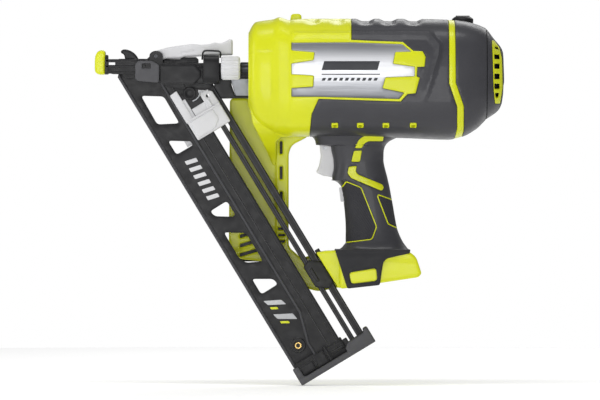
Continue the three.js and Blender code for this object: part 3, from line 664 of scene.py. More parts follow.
# ---------------------------------------------------------------- barrel
BARREL = Skin([
    (BORE_X, 27, -38, 31), (133.5, 32, -45, 34.6), (136.5, 35.3, -50, 36.2), (143, 36.6, -55.5, 38),
    (152, 37.9, -59, 39.6), (156.5, 39.6, -60, 41.4), (165.5, 37.1, -61.2, 46.9), (169, 37.8, -61.5, 48),
    (192, 38.3, -62, 49.8), (262, 38.2, -63, 49.8), (300, 37.4, -64.3, 49.4), (312, 36.3, -61.9, 48),
    (324, 33.5, -55.3, 45), (332, 30.2, -47.4, 41.4),
], 3.4)
REAR = Skin([
    (331.8, 30.2, -47.4, 41.4), (334.5, 27, -45.6, 39), (338.5, 21.6, -43, 35.6), (342.5, 17, -39.6, 31.4),
    (345.2, 13.2, -34.5, 27.6), (346.4, 10, -27, 24), (REAR_X, 7, -21, 20),
], 3.2)
EDGE_X = 217.5                      # front edge of the overmould on top
TOP, FLOOR = 70, -80                # beyond the skin, up and down
PANEL = [                           # outline of the silver panel, with its lime fingers
    (167, 17.9), (217.6, 18.2), (260.4, 16.6), (268.3, 9.7), (254.6, 9.4), (252.6, -0.6), (271, -3.2),
    (271, -11.6), (246.2, -12.6), (243.8, -21.6), (262.2, -25.4), (258, -30.9), (189.6, -29), (167, -29),
    (167, -21.4), (185.3, -20.2), (185.8, -11), (167, -9.8), (167, -0.4), (185.6, 2.4), (186.4, 9.2), (167, 10.9),
]
FRAME_EDGE = [                      # outside of the lime frame round the panel, where the overmould starts
    (EDGE_X, TOP), (EDGE_X, 19.9), (260.9, 18.3), (269.9, 10.4), (277.6, 10), (280, 5.4), (279, -3), (273, -3.6),
    (272.4, -11.6), (275, -12.6), (271.6, -25.9), (264.6, -26.6), (259, -32.8), (190, -30.6), (184, -43.6),
    (182.4, -60), (182.4, FLOOR),
]
CREST = [(166, 23.8), (283, 23.8), (291.6, 14.5), (290.7, 6), (276.3, -39.1)]    # raised line over the panel
CREST_EDGES = (0, 3.4, -4.6)        # the crest's top, outer foot and inner foot
SCOOPS = (184.8, 206, 229.5, 249, 270)
BAND_FRONT = [(299.9, TOP), (299.9, -17.5), (306.6, -37.4), (306.8, -55.5), (302, FLOOR)]
BAND_REAR = [(307.4, FLOOR), (312.4, -57.8), (312.2, -37), (305.4, -17), (304.8, TOP)]
MARKS = [(203.6, -53), (225.1, -53), (246.7, -53), (269.7, -53)]
EAR = [(165.4, 34), (166.6, 41.4), (168.4, 42.6), (173.6, 42.6), (175.4, 41.4), (176, 34)]
NECK = [(131.4, -34), (134, -50), (139, -60), (146, -74), (151, -86), (153.6, -86), (154, -66), (158, -62.6),
        (184, -60.4), (178, -46), (150, -34)]


def signed_to_path(x, z, path):
    """Distance to an open path, positive on its outer side, how far along the path, and its length."""
    best = np.full(len(x), 1e9)
    sign = np.ones(len(x))
    along = np.zeros(len(x))
    run = 0.0
    for (x0, z0), (x1, z1) in zip(path, path[1:]):
        dx, dz = x1 - x0, z1 - z0
        length = math.hypot(dx, dz)
        t = np.clip(((x - x0) * dx + (z - z0) * dz) / length ** 2, 0, 1)
        gap = np.hypot(x - x0 - t * dx, z - z0 - t * dz)
        closer = gap < best - 1e-9
        cross = dx * (z - z0) - dz * (x - x0)
        best = np.where(closer, gap, best)
        sign = np.where(closer, np.sign(cross), sign)
        along = np.where(closer, run + t * length, along)
        run += length
    return best * sign, along, run


def barrel_relief(x, angle, place):
    """Styling of the barrel: a crest over the panel, scooped shoulders, and the stepped front block."""
    z = place[:, 2]
    gap, along, length = signed_to_path(x, z, CREST)
    fade = smoothstep(0, 3, along) * (1 - smoothstep(length - 38, length, along))
    crest = np.interp(gap, [-22, -9, -4.6, 0, 3.4], [0, -0.95, -0.95, 1.6, 0]) * fade
    scoop = np.zeros(len(x))
    for centre in SCOOPS:
        dark = centre > EDGE_X
        reach = 7.5 if dark else 6.5
        valley = np.clip(1 - ((x - centre) / reach) ** 2, 0, 1) ** 1.2
        shoulder = smoothstep(48, 58, angle) * (1 if dark else 1 - smoothstep(70, 80, angle))
        scoop -= (2.5 if dark else 1.6) * valley * shoulder
    front = 1 - smoothstep(150.5, 152.5, x)
    step = -0.55 * smoothstep(10.6, 9.8, z) * front
    shelf = 0.5 * smoothstep(-42, -43.2, z) * (1 - smoothstep(153, 156, x))
    return crest + scoop + step + shelf


def along_skin(skin, points, step=2.5, closed=True):
    return skin.trace(dense([list(p) for p in points], step, closed))


def build_barrel():
    outer = [(BORE_X, TOP), *FRAME_EDGE, (BORE_X, FLOOR)]
    panel_hole = rounded(PANEL, 1.0)
    crest_lines = [along_skin(BARREL, shifted(CREST, by), closed=False) for by in CREST_EDGES]
    columns = [along_skin(BARREL, [(x, TOP), (x, FLOOR)], closed=False) for x in (152, 156.5, 165.5)]
    levels = [along_skin(BARREL, [(BORE_X, z), (152, z)], closed=False) for z in (10.7, 9.7, -42, -43.2)]
    lime = patch(
        BARREL, [along_skin(BARREL, outer), along_skin(BARREL, panel_hole, 1.5)], step=2.6,
        relief=barrel_relief, creases=crest_lines + columns + levels,
    )
    backing = patch(BARREL, [along_skin(BARREL, rect(BORE_X + 3, CAP_X - 0.5, FLOOR, TOP))], lift=-2.3,
                    depth=1.6, rim=0.2, step=8)
    ear = plate(-4.5, EAR, 4.5, 1.2, 1.4, (1.2, 3))
    web = plate(-24, NECK, 36, 0.8, 2.6, (1.2,), relief=neck_relief)
    housing = [lime, backing, front_wall(), ear]
    piece("housing_left_shell", housing + [web], "lime", nodes=["housing_left"])
    piece("housing_right_shell", mirrored(housing), "lime", nodes=["housing_right"])

    edge = [(x + GAP, z) for x, z in FRAME_EDGE]
    soft = [*edge, (CAP_X - GAP, FLOOR), (CAP_X - GAP, TOP)]
    band_hole = BAND_FRONT + BAND_REAR
    holes = [grown(band_hole, GAP)] + [grown(mark_outline(*mark), GAP) for mark in MARKS]
    traced = [along_skin(BARREL, loop, 1.5) for loop in holes] + [dial_hole()]
    dark = patch(BARREL, [along_skin(BARREL, soft)] + traced, step=2.6, relief=barrel_relief,
                 creases=crest_lines)
    both_sides("overmold_{}_skin", [dark], "overmold", ["overmold_{}"])
    band = patch(BARREL, [along_skin(BARREL, band_hole, 1.5)], lift=-0.25, step=2.2)
    both_sides("accent_band_{}_inlay", [band], "lime", ["accent_band_{}"])
    marks = [patch(BARREL, [along_skin(BARREL, mark_outline(x, z), 0.8),
                            along_skin(BARREL, rounded(rect(x - 1.5, x + 1.5, z - 1.9, z + 0.1), 0.4), 0.8)],
                   lift=-0.15, rim=0.3, step=1.0) for x, z in MARKS]
    both_sides("side_marks_{}", marks, "lime")

    panel = patch(BARREL, [along_skin(BARREL, grown(panel_hole, -GAP), 1.5)], lift=-0.35, depth=1.4, rim=0.3,
                  step=2.6, relief=barrel_relief)
    both_sides("side_panel_{}_film", [panel], "silver", ["side_panel_{}"])
    bars = [
        [(194.6, 1.4), (241.6, 1.4), (239.4, -6.2), (192.4, -6.2)],
        rect(192.4, 241.6, -10.2, -9.3),
        *[[(x + 1, -12.8), (x + 3.8, -12.8), (x + 2.8, -15.2), (x, -15.2)] for x in np.arange(192.4, 238, 4.85)],
    ]
    print_on = [patch(BARREL, [along_skin(BARREL, bar, 1.5)], lift=-0.28, depth=0.2, rim=0.04, step=2.6,
                      relief=barrel_relief) for bar in bars]
    both_sides("panel_stripes_{}", print_on, "charcoal", look="print")


def neck_relief(x, z, place):
    """The neck thins from the barrel down to the motor column behind it."""
    return -33.5 * smoothstep(-50, -85, z) - 6 * smoothstep(150, 166, x) * smoothstep(-50, -62, z)


def shifted(path, by):
    """An open path moved to its outer side."""
    out = []
    for i, (x, z) in enumerate(path):
        steps = [np.subtract(path[k + 1], path[k]) for k in (i - 1, i) if 0 <= k < len(path) - 1]
        normals = [np.array([-s[1], s[0]]) / np.linalg.norm(s) for s in steps]
        total = np.sum(normals, 0)
        scale = by / max(0.3, float(np.dot(total, normals[0])))
        out.append((x + total[0] * scale, z + total[1] * scale))
    return out


def mark_outline(x, z):
    return rounded(rect(x - 2.8, x + 2.8, z - 2, z + 2), 0.9, 3)


def dial_hole():
    """The opening in the top seam where the power dial turns."""
    low, high = span("power_dial")
    x, radius = (low.x + high.x) / 2, (high.x - low.x) / 2 + 0.9
    turns = [math.pi * i / 24 for i in range(25)]
    arc = [(x + radius * math.cos(a), radius * math.sin(a)) for a in turns]
    _, tall, half = BARREL.sizes(np.array([p[0] for p in arc]))
    y = np.array([p[1] for p in arc])
    height = tall * (1 - (y / half) ** BARREL.power) ** (1 / BARREL.power)
    angle = np.degrees(np.arctan2(height, y))
    arc = [[p[0], a] for p, a in zip(arc, angle)]
    return arc + [[x - radius, 95], [x + radius, 95]]


def front_wall():
    """The barrel's flat front face, with the openings for the driver channel and the depth shaft."""
    places = np.array([[BORE_X, a] for a in np.linspace(-90, 90, 61)])
    rim = BARREL(places, np.zeros(len(places)))
    outline = [[y, z] for _, y, z in rim]
    channel = [[0.5, 9.4], [-9.4, 9.4], [-13, 2], [-13, -29.4], [0.5, -29.4]]
    shaft_low, shaft_high = span("adjuster_shaft")
    shaft = disc((shaft_low.y + shaft_high.y) / 2, (shaft_low.z + shaft_high.z) / 2, 6)
    return patch(front_plane(BORE_X), [outline, channel, shaft], lift=0.4, depth=2.4, step=2.5)


def build_rear():
    grille = [(336.2, 19.8), (338.6, 19.8), (343.4, 13.4), (345.3, 4), (345.9, -20), (343.8, -34.4), (338.8, -34.4),
              (337.4, -22)]
    vents = [[(338.4, 12.6), (339.6, 15.4), (341.4, 14.6), (342.6, 11.2)]]
    vents += [rect(338.3, 342.8, z - 2.4, z + 2.4) for z in (5.8, -2.4, -11.2, -19.8)]
    vents.append([(338.9, -25.2), (342.4, -25.2), (341.6, -29.6), (339.5, -29.6)])
    cover = rect(CAP_X + GAP, REAR_X, FLOOR, TOP)
    hole = along_skin(REAR, rounded(grille, 0.8), 1.0)
    shell = patch(REAR, [along_skin(REAR, cover, 1.5), hole], step=2.0, depth=2.4, rim=0.35)
    places = np.array([[REAR_X, a] for a in np.linspace(-90, 90, 49)])
    rim = REAR(places, np.full(len(places), -0.4))
    outline = [[y, z] for _, y, z in rim]
    wall = patch(front_plane(REAR_X), [outline], lift=1.6, depth=1.5, rim=0.1, back_rim=0.5, step=2.5)
    # A black sheet under the grille: painted shade standing in for the dark inside the vents.
    grille_shade_sheet = patch(REAR, [along_skin(REAR, grown(grille, 1.5), 1.5)], lift=-4.2, depth=0.8, rim=0.1, step=3)
    both = [shell, wall]
    piece("rear_cap_shell", both + mirrored(both), "overmold", nodes=["rear_cap"])
    holes = [along_skin(REAR, rounded(vent, 0.4, 2), 1.0) for vent in vents]
    lattice = patch(REAR, [along_skin(REAR, rounded(grown(grille, -GAP), 0.8), 1.0)] + holes, lift=0.1, depth=1.8,
                    rim=0.35, step=1.4)
    both_sides("vent_grille_{}_lattice", [lattice], "lime", ["vent_grille_{}"])
    both_sides("vent_shade_sheet_{}", [grille_shade_sheet], "black")


def build_dial():
    low, high = span("power_dial")
    x, z = (low.x + high.x) / 2, low.z
    radius = (high.x - low.x) / 2
    profile = [(0, radius * 0.9), (0.3, radius * 0.98), (3.8, radius), (4.6, radius * 0.96), (5.2, radius * 0.85),
               (5.9, radius * 0.78), (6.3, radius * 0.6)]
    knob = turned(profile, (x, 0, z), count=72, wave=lambda a: 1 + 0.012 * math.cos(24 * a))
    bar = plate(z + 6.2, rect(x - 6, x + 6, -1.3, 1.3), 1.6, 0.4, 1, (0.9,), top_plane, lift=0.9)
    piece("power_dial_knob", [knob, bar], "black", "power_dial", ["power_dial"])
    reach = radius + 2.5
    well = patch(BARREL, [rect(x - reach, x + reach, 76, 90)], lift=-2.05, depth=0.4, rim=0.1, step=3)
    both_sides("dial_well_{}", [well], "black")


# ---------------------------------------------------------------- handle, trigger and foot
HANDLE = Skin([
    (-159.2, 268, 204, 24.5), (-157, 266, 208.6, 21.5), (-151, 261.6, 213, 19.2), (-140, 256.9, 213.6, 18),
    (-118, 252.8, 211, 17.5), (-106, 250.6, 209.4, 17.2), (-104, 250.2, 209, 17.2), (-99.6, 249.2, 204.8, 17.1),
    (-98.8, 249, 201, 17), (-96, 248.4, 200.6, 17), (-88, 246.3, 202, 17.2), (-82, 245.2, 201.8, 17.6),
    (-74, 245.4, 200.2, 18.6), (-69.6, 246.6, 199.5, 19.4), (-68.8, 247, 187.9, 19.6), (-64.5, 252, 187, 20.6),
    (-62.6, 257, 185.5, 21.4), (-60, 264, 183, 22.4), (-57, 270, 182.6, 23.5),
], 2.8, upright=True)
FLASHES = [                         # lime inlays down the side of the handle
    [(245.6, -61), (232, -61), (227.4, -62), (224, -65), (220.6, -71.6), (226.4, -71.8), (228.6, -68.4),
     (231.4, -66.2), (234, -65.8), (245, -65.8)],
    [(219.8, -74), (226.8, -73.6), (225, -83.2), (217.6, -83.2)],
    [(215.4, -87.4), (222.4, -86.6), (221.4, -91.4), (223.4, -94), (244.4, -102.4), (245.6, -105.4),
     (243.6, -107.8), (217.4, -97), (214.4, -93)],
]
FRONT_PAD = [(209.6, -104.4), (212.8, -99.2), (226.4, -104.6), (239.8, -138.4), (235.6, -149.4), (212.8, -152.2),
             (200, -152), (200, -104.4)]
REAR_PAD = [(260, -117), (252.4, -114.6), (240.6, -110.4), (239.4, -112.6), (248.6, -136.2), (256.4, -139.8),
            (265, -143)]


TRIGGER = [(190.8, -68.3), (192, -78.2), (190.4, -86.4), (187.8, -92.1), (193.8, -94.9), (202.6, -96.4),
           (204.4, -87.6), (204, -78.2), (201.3, -68.3)]


def handle_relief(along, angle, place):
    """Two finger swells down the front of the grip."""
    swell = 0.5 * np.sin((along + 104) / 48 * 2 * math.pi) * smoothstep(-35, -70, angle)
    return swell * smoothstep(-104, -108, along) * (1 - smoothstep(-148, -152, along))


def ribbed(along, angle, place):
    """Fine slanted ribs moulded into a grip pad."""
    phase = (along * 0.8 + angle * 0.5) / 3.2 * 2 * math.pi
    return handle_relief(along, angle, place) + 0.14 * np.sin(phase)


def build_handle():
    body = [(160, -159.2), (290, -159.2), (290, -57), (160, -57)]
    ledges = [along_skin(HANDLE, [(180, z), (215, z)], closed=False) for z in (-68.8, -69.6, -98.8, -99.6)]
    pocket = slot_in_front((-98.3, -69.2), span("trigger")[1].y + 0.7)
    grip_low, grip_high = span("grip_switch")
    grip_slot = slot_in_front((grip_low.z - 0.4, grip_high.z + 0.4), grip_high.y + 0.9)
    flashes = [rounded(points, 1.2, 3) for points in FLASHES]
    front_pad, rear_pad = rounded(FRONT_PAD, 2.2), rounded(REAR_PAD, 1.6)
    holes = [along_skin(HANDLE, grown(f, GAP / 2), 1.2) for f in flashes]
    holes += [along_skin(HANDLE, front_pad, 1.6), along_skin(HANDLE, rear_pad, 1.6)]
    shell = patch(HANDLE, [along_skin(HANDLE, body), *holes, pocket, grip_slot], step=2.4, rim=0.4, creases=ledges,
                  relief=handle_relief)
    both_sides("handle_{}_shell", [shell], "overmold", ["handle_{}"])
    inlays = [patch(HANDLE, [along_skin(HANDLE, f, 1.2)], lift=-0.15, rim=0.35, step=1.6) for f in flashes]
    both_sides("handle_flashes_{}", inlays, "lime")
    lines, pads = [], []
    for outline in (front_pad, rear_pad):
        line = [along_skin(HANDLE, grown(outline, by), 1.2) for by in (-0.15, -1.0)]
        lines.append(patch(HANDLE, line + [grip_slot], lift=0.02, rim=0.2, step=0.9, relief=handle_relief))
        pad = along_skin(HANDLE, grown(outline, -1.15), 1.4)
        pads.append(patch(HANDLE, [pad, grip_slot], lift=-0.1, rim=0.3, step=0.9, relief=ribbed))
    both_sides("grip_lines_{}", lines, "lime")
    both_sides("grip_pads_{}", pads, "overmold", look="grip")


def slot_in_front(levels, half):
    """An opening across the handle's front seam, between two heights and half that wide each way."""
    low, high = levels
    edge = []
    for z in np.linspace(low, high, 14):
        _, deep, wide = (v[0] for v in HANDLE.sizes(np.array([z])))
        x = deep * (1 - (half / wide) ** HANDLE.power) ** (1 / HANDLE.power)
        edge.append([z, math.degrees(math.atan2(-x, half))])
    return [[low, -96], *edge, [high, -96]]


def build_trigger():
    half = span("trigger")[1].y
    blade = plate(-half, TRIGGER, 2 * half, 1.6, 1.4, (1.6,), back_rim=1.6)
    piece("trigger_blade", [blade], "pale", "trigger", ["trigger"])
    eased("grip_switch", 0.5)
    for node in ("trigger_pin", "trigger_switch", "battery_contacts", "circuit_board"):
        paint(node)


FOOT = [(207.8, -157.9), (262, -157.9), (268.6, -160.3), (272.6, -164.4), (277, -177.8), (274.2, -180.8),
        (214, -189.9), (207.8, -190.7)]
SADDLE = [(203.8, -158.1), (267.6, -158.3), (266.6, -160.6), (247.4, -165), (244.4, -168.4), (243.2, -176),
          (241.6, -187.4), (214.2, -190.4), (211.4, -181.6)]
INSET = [(215.8, -177), (238.4, -173.2), (239.3, -183.6), (217.6, -186.2)]
SOCKET = [(221, -150), (250, -150), (255, -199), (215.5, -199)]       # where the battery's stem goes in
SOCKET_HALF = 13


def build_foot():
    half = -span("foot_left")[0].y
    outline = rounded(FOOT, 3.2)
    flank = plate(-half, outline, half - SOCKET_HALF, 2.2, 2.2, creases=[[(208, -165), (276, -171)]],
                  relief=lambda x, z, place: 0.5 * smoothstep(-166, -164, z + (x - 240) * 0.09) - 0.25)
    core = patch(side_plane(-SOCKET_HALF), [outline, SOCKET], depth=SOCKET_HALF - GAP / 2, rim=0.1, step=4)
    both_sides("foot_{}_shell", [flank, core], "lime", ["foot_{}"], sharp=40)
    saddle = rounded(SADDLE, 1.8)
    inset = rounded(INSET, 2.6)
    cover = patch(side_plane(-half), [saddle, grown(inset, GAP)], lift=1.0, depth=1.6, rim=0.6, step=2,
                  relief=lambda x, z, place: 0.5 * smoothstep(-160.5, -163, z) * smoothstep(-175, -171, z))
    roof = plate(-157.9, rect(203.9, 267.4, -half - 0.8, -0.2), 1.0, 0.4, 3, (1,), top_plane, lift=0.5)
    both_sides("foot_saddle_{}_cover", [cover, roof], "overmold", ["foot_saddle_{}"], look="saddle")
    both_sides("foot_window_{}", [plate(-half, inset, 1.1, 0.4, 1.6, lift=0.55)], "lime")


# ---------------------------------------------------------------- motor column
COLUMN = [(114.5, -28.8), (131, -28.8), (170, -45), (182, -61), (167.6, -68.5), (164.6, -75), (164.6, -156),
          (176, -165.5), (190, -160.2), (209, -159.4), (209, -189.8), (190, -193.6), (176, -190), (160.5, -169.5),
          (123.3, -166), (113.5, -158)]
HOLLOW = [(120, -40), (150, -46), (158, -60), (158, -100), (120, -100)]          # sunk panel on the right side
TOE = [(187.8, -160), (196, -158.6), (209, -157.9), (209, -189.6), (206.8, -190.2)]


def build_column():
    near, seam = (corner.y for corner in span("motor_cover"))
    far = span("motor_housing")[1].y
    outline = rounded(COLUMN, 4)
    slots = [rounded(rect(157, 159.3, -76.3 - 21.5 * i, -65.5 - 21.5 * i), 0.8, 3) for i in range(3)]
    slots += [rounded([(123, z - 8), (140, z - 3), (140, z - 0.2), (123, z - 5.2)], 1, 3) for z in (-140, -148, -156)]
    slots += [rounded(rect(155.6, 161.4, -141 - 5.4 * i, -139.2 - 5.4 * i), 0.7, 3) for i in range(3)]
    ribs = [[(154.6, -40), (154.6, -150)], [(153.2, -40), (153.2, -150)]]
    cover = patch(side_plane(near), [outline, *slots], depth=seam - near - GAP / 2, rim=1.4, step=2.4, creases=ribs,
                  relief=lambda x, z, place: -0.8 * smoothstep(154.6, 153.2, x) * smoothstep(-160, -156, z))
    piece("motor_cover_shell", [cover], "lime", nodes=["motor_cover"], sharp=40)
    # Black sheets behind the slots: painted shade standing in for the dark inside the vents.
    slot_shade_sheets = [plate(near + 2.6, rect(*sides), 2, 0.1, 4)
               for sides in ((155, 162, -156, -60), (121, 142, -168, -136))]
    piece("motor_cover_slot_shade", slot_shade_sheets, "black")
    far_slots = [rounded(rect(122 + 7 * i, 125.4 + 7 * i, -148, -112), 1.4, 3) for i in range(5)]
    hollow = rounded(HOLLOW, 3)

    def sunk(x, z, place):
        return 0.8 * smoothstep(-166, -170, z) - 0.7 * inside(np.stack([x, z], 1), hollow)

    back = patch(side_plane(-far), [outline, *far_slots], depth=far - seam - GAP / 2, rim=2.6, step=2.6,
                 creases=[hollow], relief=sunk)
    piece("motor_housing_shell", mirrored([back]), "lime", nodes=["motor_housing"], sharp=40)
    # A black sheet behind the far slots: painted shade for the dark inside the vents.
    piece("motor_housing_slot_shade", mirrored([plate(3 - far, rect(119, 158, -152, -108), 2, 0.1, 5)]), "black")
    heads = [turned([(0, 3.4), (-0.7, 3.2), (-0.9, 2.6), (-0.9, 1.6), (-0.2, 1.2)], (x, -far, z), "y", 24)
             for x, z in ((126, -106), (158, -106), (122, -160), (196, -176))]
    piece("motor_housing_screws", mirrored(heads), "black")
    piece("foot_toe", [plate(-30, TOE, 40, 1.4, 2.6, (1.5, 4))], "lime")


# ---------------------------------------------------------------- nose
PAD = [(0.05, -4.6), (0.5, -7.4), (3, -8.9), (9, -9.1), (9, 11), (5.6, 11.8), (2.4, 10.4), (0.5, 7), (0.05, 3)]
PAD_SLOT_HALF = 3.5                 # half the width of the slot in the pad that the nail passes


def build_nose():
    outline = rounded(PAD, 2.2, 5)
    half = span("nose_pad")[1].y
    halves = [plate(-half, outline, half - PAD_SLOT_HALF, 2.0, 1.2)]
    halves += mirrored(halves)
    over_slot = [p for p in outline if p[1] > -1.6] + [[9, -1.6], [0.2, -1.6]]
    middle = plate(-PAD_SLOT_HALF, over_slot, 2 * PAD_SLOT_HALF, 0.02, 1.6)
    piece("nose_pad_cap", halves + [middle], "lime", "contact_head", ["nose_pad"], sharp=60)
    for node, width in (("driver_guide", 0.5), ("nose_casting", 0.8)):
        eased(node, width)
    low, high = span("adjuster_shaft")
    centre = (0, (low.y + high.y) / 2, (low.z + high.z) / 2)
    profile = [(107, 2.4), (107.4, 3), (124, 3), (124, 4.6), (124.5, 5), (141.4, 5), (142, 4.5)]
    shaft = turned(profile, centre, "x", 36)
    piece("adjuster_shaft_turned", [shaft], "steel", "contact_shaft", ["adjuster_shaft"], look="dark_steel")
    build_contact_arm()
    build_covers()
    build_wheel()
    build_latch()


def build_contact_arm():
    """The arm that the pad sits on: a yoke, two bars down the left side, and a rounded block round the shaft."""
    bore = disc(0, -5, 3.3, 24)
    yoke = rounded(rect(-8, 8, -8.9, 7.6), 3)
    solids = [patch(front_plane(8), [yoke, bore], depth=3.3, rim=0.6, back_rim=0.6, step=1.8)]
    bars = [
        (-11.5, rect(9, 37, 1.1, 3.9), 2.1, 0.7),
        (-11.5, rect(9, 92.6, -3.6, -1.0), 2.1, 0.7),
        (-11.5, [(9, -6.2), (92.6, -6.2), (92.6, -8.9), (16, -8.9), (9, -7.6)], 2.1, 0.7),
        (-10.5, rect(9.4, 92.6, -8.4, -1.4), 1.1, 0.1),
        (-10.7, rounded(rect(17.4, 37.6, -8.2, 3.6), 0.6, 3), 1.3, 0.4),
        (-11.5, rounded(rect(9, 12, -8.9, 4), 0.6, 3), 4.5, 0.5),
    ]
    solids += [plate(*bar) for bar in bars]
    block = [(-27, -17.4), (-27, 7.7), (-9.6, 7.7), (-9.6, -17.4)]
    solids.append(plate(92.4, block, 13.4, 0.9, 2.2, (8.2, 12), front_plane, 0.9))
    solids.append(plate(-12.4, [(84, -9), (88, -17), (93.4, -17), (93.4, -2), (88, -2)], 2.6, 0.8, 2.4, (1.2, 4)))
    bail = [(91.4, 3.4), (91.5, 6.6), (91.9, 9.2), (93.2, 10.7), (95.4, 11), (101, 10.8), (105.2, 10.6),
            (106.6, 9.8), (107, 8), (106.6, 5)]
    solids.append(tube([(x, -15.6, z) for x, z in bail], 0.75, 12))
    piece("contact_arm_yoke", solids, "black", "contact_head", ["contact_arm"], sharp=40)


SIDE_PLATE = [(34.5, -12.8), (34.5, -0.4), (37, 2.4), (48.8, 2.4), (54.9, -1), (54.9, -15), (53.2, -16.2),
              (36.8, -14.8)]
COVER = [(55.8, -0.6), (84.6, -0.6), (90.4, -6), (90.4, -11), (84.4, -17.4), (55.8, -16.8)]
COVER_LIP = [(56.2, -16.1), (83.6, -16.7), (84.4, -17.6), (56.2, -17)]
LEDGE = [(58, -1), (58, 3.6), (60, 4.1), (72.6, 4.1), (75, 5.6), (86, 5.8), (88, 4), (88, -1)]
SKIRT = [(57, -11), (100, -11), (100, -20.4), (94, -22.6), (76, -22.6), (57, -18)]
UNDER_WHEEL = [(101.4, -11.6), (116, -11.6), (116, -17.8), (119.4, -27), (130.8, -27), (130.8, -29),
               (107.6, -29.4), (101.4, -19.6)]


def build_covers():
    """The plates on the left of the nose, with the ledge under the latch and the bracket under the wheel."""
    window = rounded(rect(40.4, 47.6, -4, 0.2), 0.8, 3)
    side = patch(side_plane(-14.4), [rounded(SIDE_PLATE, 1.6, 4), window], depth=2.6, rim=0.7, step=1.8)
    piece("nose_side_plate_cover", [side], "charcoal", nodes=["nose_side_plate"], sharp=40)
    pit = [plate(-12.9, rect(39.8, 48.2, -4.6, 0.8), 1.0, 0.1, 2),
           plate(-13.9, rect(41.2, 43.6, -3.4, -0.6), 1.4, 0.3, 1, (0.4, 3))]
    piece("nose_plate_pit", pit, "black")
    cover = [plate(-14.2, COVER, 2.2, 0.9, 2.2, (1.2, 4)), plate(-14.6, COVER_LIP, 1.6, 0.3, 1.4, (0.3, 2))]
    piece("nose_cover_plate", cover, "black", nodes=["nose_cover"], sharp=40)
    ledge = [
        plate(-6.4, LEDGE, 12.8, 0.8, 2.6, (0.6, 3), back_rim=0.8),
        plate(-8.2, rect(77.6, 87.2, 0.6, 3.2), 3, 0.7, 1.6, (0.8, 3)),
        plate(-8, rect(64, 68.4, 0.4, 2.4), 3, 0.6, 1.4, (0.7, 3)),
        plate(-8.4, SKIRT, 4, 0.6, 3, (1.0, 3)),
    ]
    piece("latch_ledge", ledge, "black", sharp=40)
    piece("nose_bracket", [plate(-12.6, UNDER_WHEEL, 20, 0.8, 2.6, (0.8, 3))], "black", sharp=40)


def build_wheel():
    low, high = span("depth_wheel")
    centre = (low.x, (low.y + high.y) / 2, (low.z + high.z) / 2)
    radius = (high.z - low.z) / 2
    width = high.x - low.x
    edge = [(0.05, 0.55), (0.1, 0.82), (0.5, 0.9), (1.5, 0.98), (1.9, 1)]
    profile = [(x, radius * share) for x, share in edge]
    profile += [(width - x, radius * share) for x, share in edge[::-1]]
    wheel = turned(profile, centre, "x", 160, lambda a: 1 - 0.07 * (0.5 - 0.5 * math.cos(20 * a)) ** 0.7)
    piece("depth_wheel_knob", [wheel], "pale", "depth_wheel", ["depth_wheel"], sharp=35)


LEVER = [(57.6, 4.3), (57.6, 12.8), (60.5, 13.6), (66, 14.6), (84, 17), (90, 16.2), (96.5, 16.5), (102, 18.2),
         (107, 17.4), (111.6, 19.2), (114.2, 21), (117, 20.6), (117, 7.6), (92, 6.7), (76, 6), (73.4, 4.6)]
LEVER_SLOT = [(73.5, 8.2), (85.6, 10), (85.6, 11.6), (73.5, 9.8)]
CHEEK = [(47.6, 3.2), (48.4, 9.4), (52, 11.2), (60, 13.2), (60, 4.2), (54, 2.6)]
HOOK = [(25.6, 3.6), (25.2, 6.4), (24.4, 8.2), (22.2, 9.2), (22, 11), (23.8, 12.3), (27, 12.4), (30.6, 11.2),
        (33.6, 9.2), (35.8, 6.6), (37.4, 3.6)]
DOOR_WEB = [(44, 1.3), (44, 4.2), (48.6, 8), (52, 8), (52, 3)]


def build_latch():
    half = span("latch_lever")[1].y
    slot = rounded(LEVER_SLOT, 0.5, 3)
    lever = plate(-half, LEVER, 2 * half, 1.8, 1.3, (1.3, 4), back_rim=1.8,
                  relief=lambda x, z, place: -0.5 * inside(np.stack([x, z], 1), slot))
    arm = plate(-half, CHEEK, half - 4.2, 1.0, 1.2, (1.6,))
    piece("latch_lever_arm", [lever, arm] + mirrored([arm]), "pale", "latch", ["latch_lever"], sharp=40)
    door_low, door_high = span("jam_door")
    door = [
        plate(-door_high.y, rect(door_low.x, 46, 1, 4.3), 2 * door_high.y, 0.7, 1.6, (1.0, 3), back_rim=0.7),
        plate(-3.6, HOOK, 7.2, 1.4, 1.3, (1.6, 5), back_rim=1.4),
        turned([(-3.3, 3.4), (-2.9, 4.2), (2.9, 4.2), (3.3, 3.4)], (52, 0, 6.4), "y", 32),
        plate(-3.3, DOOR_WEB, 6.6, 0.5, 1.4, (0.8, 3), back_rim=0.5),
    ]
    piece("jam_door_hook", door, "black", "jam_door", ["jam_door"], sharp=40)
    paint("latch_pin", "dark_steel")


# ---------------------------------------------------------------- magazine
MAG_LEAN = math.radians(31.2)
MAG_CORNER = (20.7, -13.6)
MAG_LENGTH = 286.5
MAG_SKIN = -4.9                     # Y of the left plate's face
WINDOWS = [
    [(8.8, 21), (25, 31.5), (24.6, 58), (8, 49)],
    [(8.6, 65.6), (24.9, 76), (24.9, 79.7), (8.7, 79.6)],
    [(8.2, 135.5), (24.9, 135.3), (25, 148.8), (22.4, 149.4), (9.4, 141)],
    [(8.9, 156.8), (24.7, 167), (24.6, 195), (11.5, 188.6), (8.6, 181.8)],
    [(8.8, 203), (24.3, 212.4), (25.3, 218.2), (8.8, 218.4)],
]
TRACK_EDGE = [(28, 17.6), (28, 248), (20.4, 274), (20.4, MAG_LENGTH)]
SCREW = (13.2, 271.6)
CLAMP = [(51.4, 217), (58, 214), (67.4, 221), (67.4, 241), (61, 244), (51.4, 237)]
BADGES = [
    [(7.4, 224), (21, 231), (22.6, 236.4), (9, 229)],
    [(8.6, 238), (23.4, 246), (24.2, 252), (10, 243.4)],
]
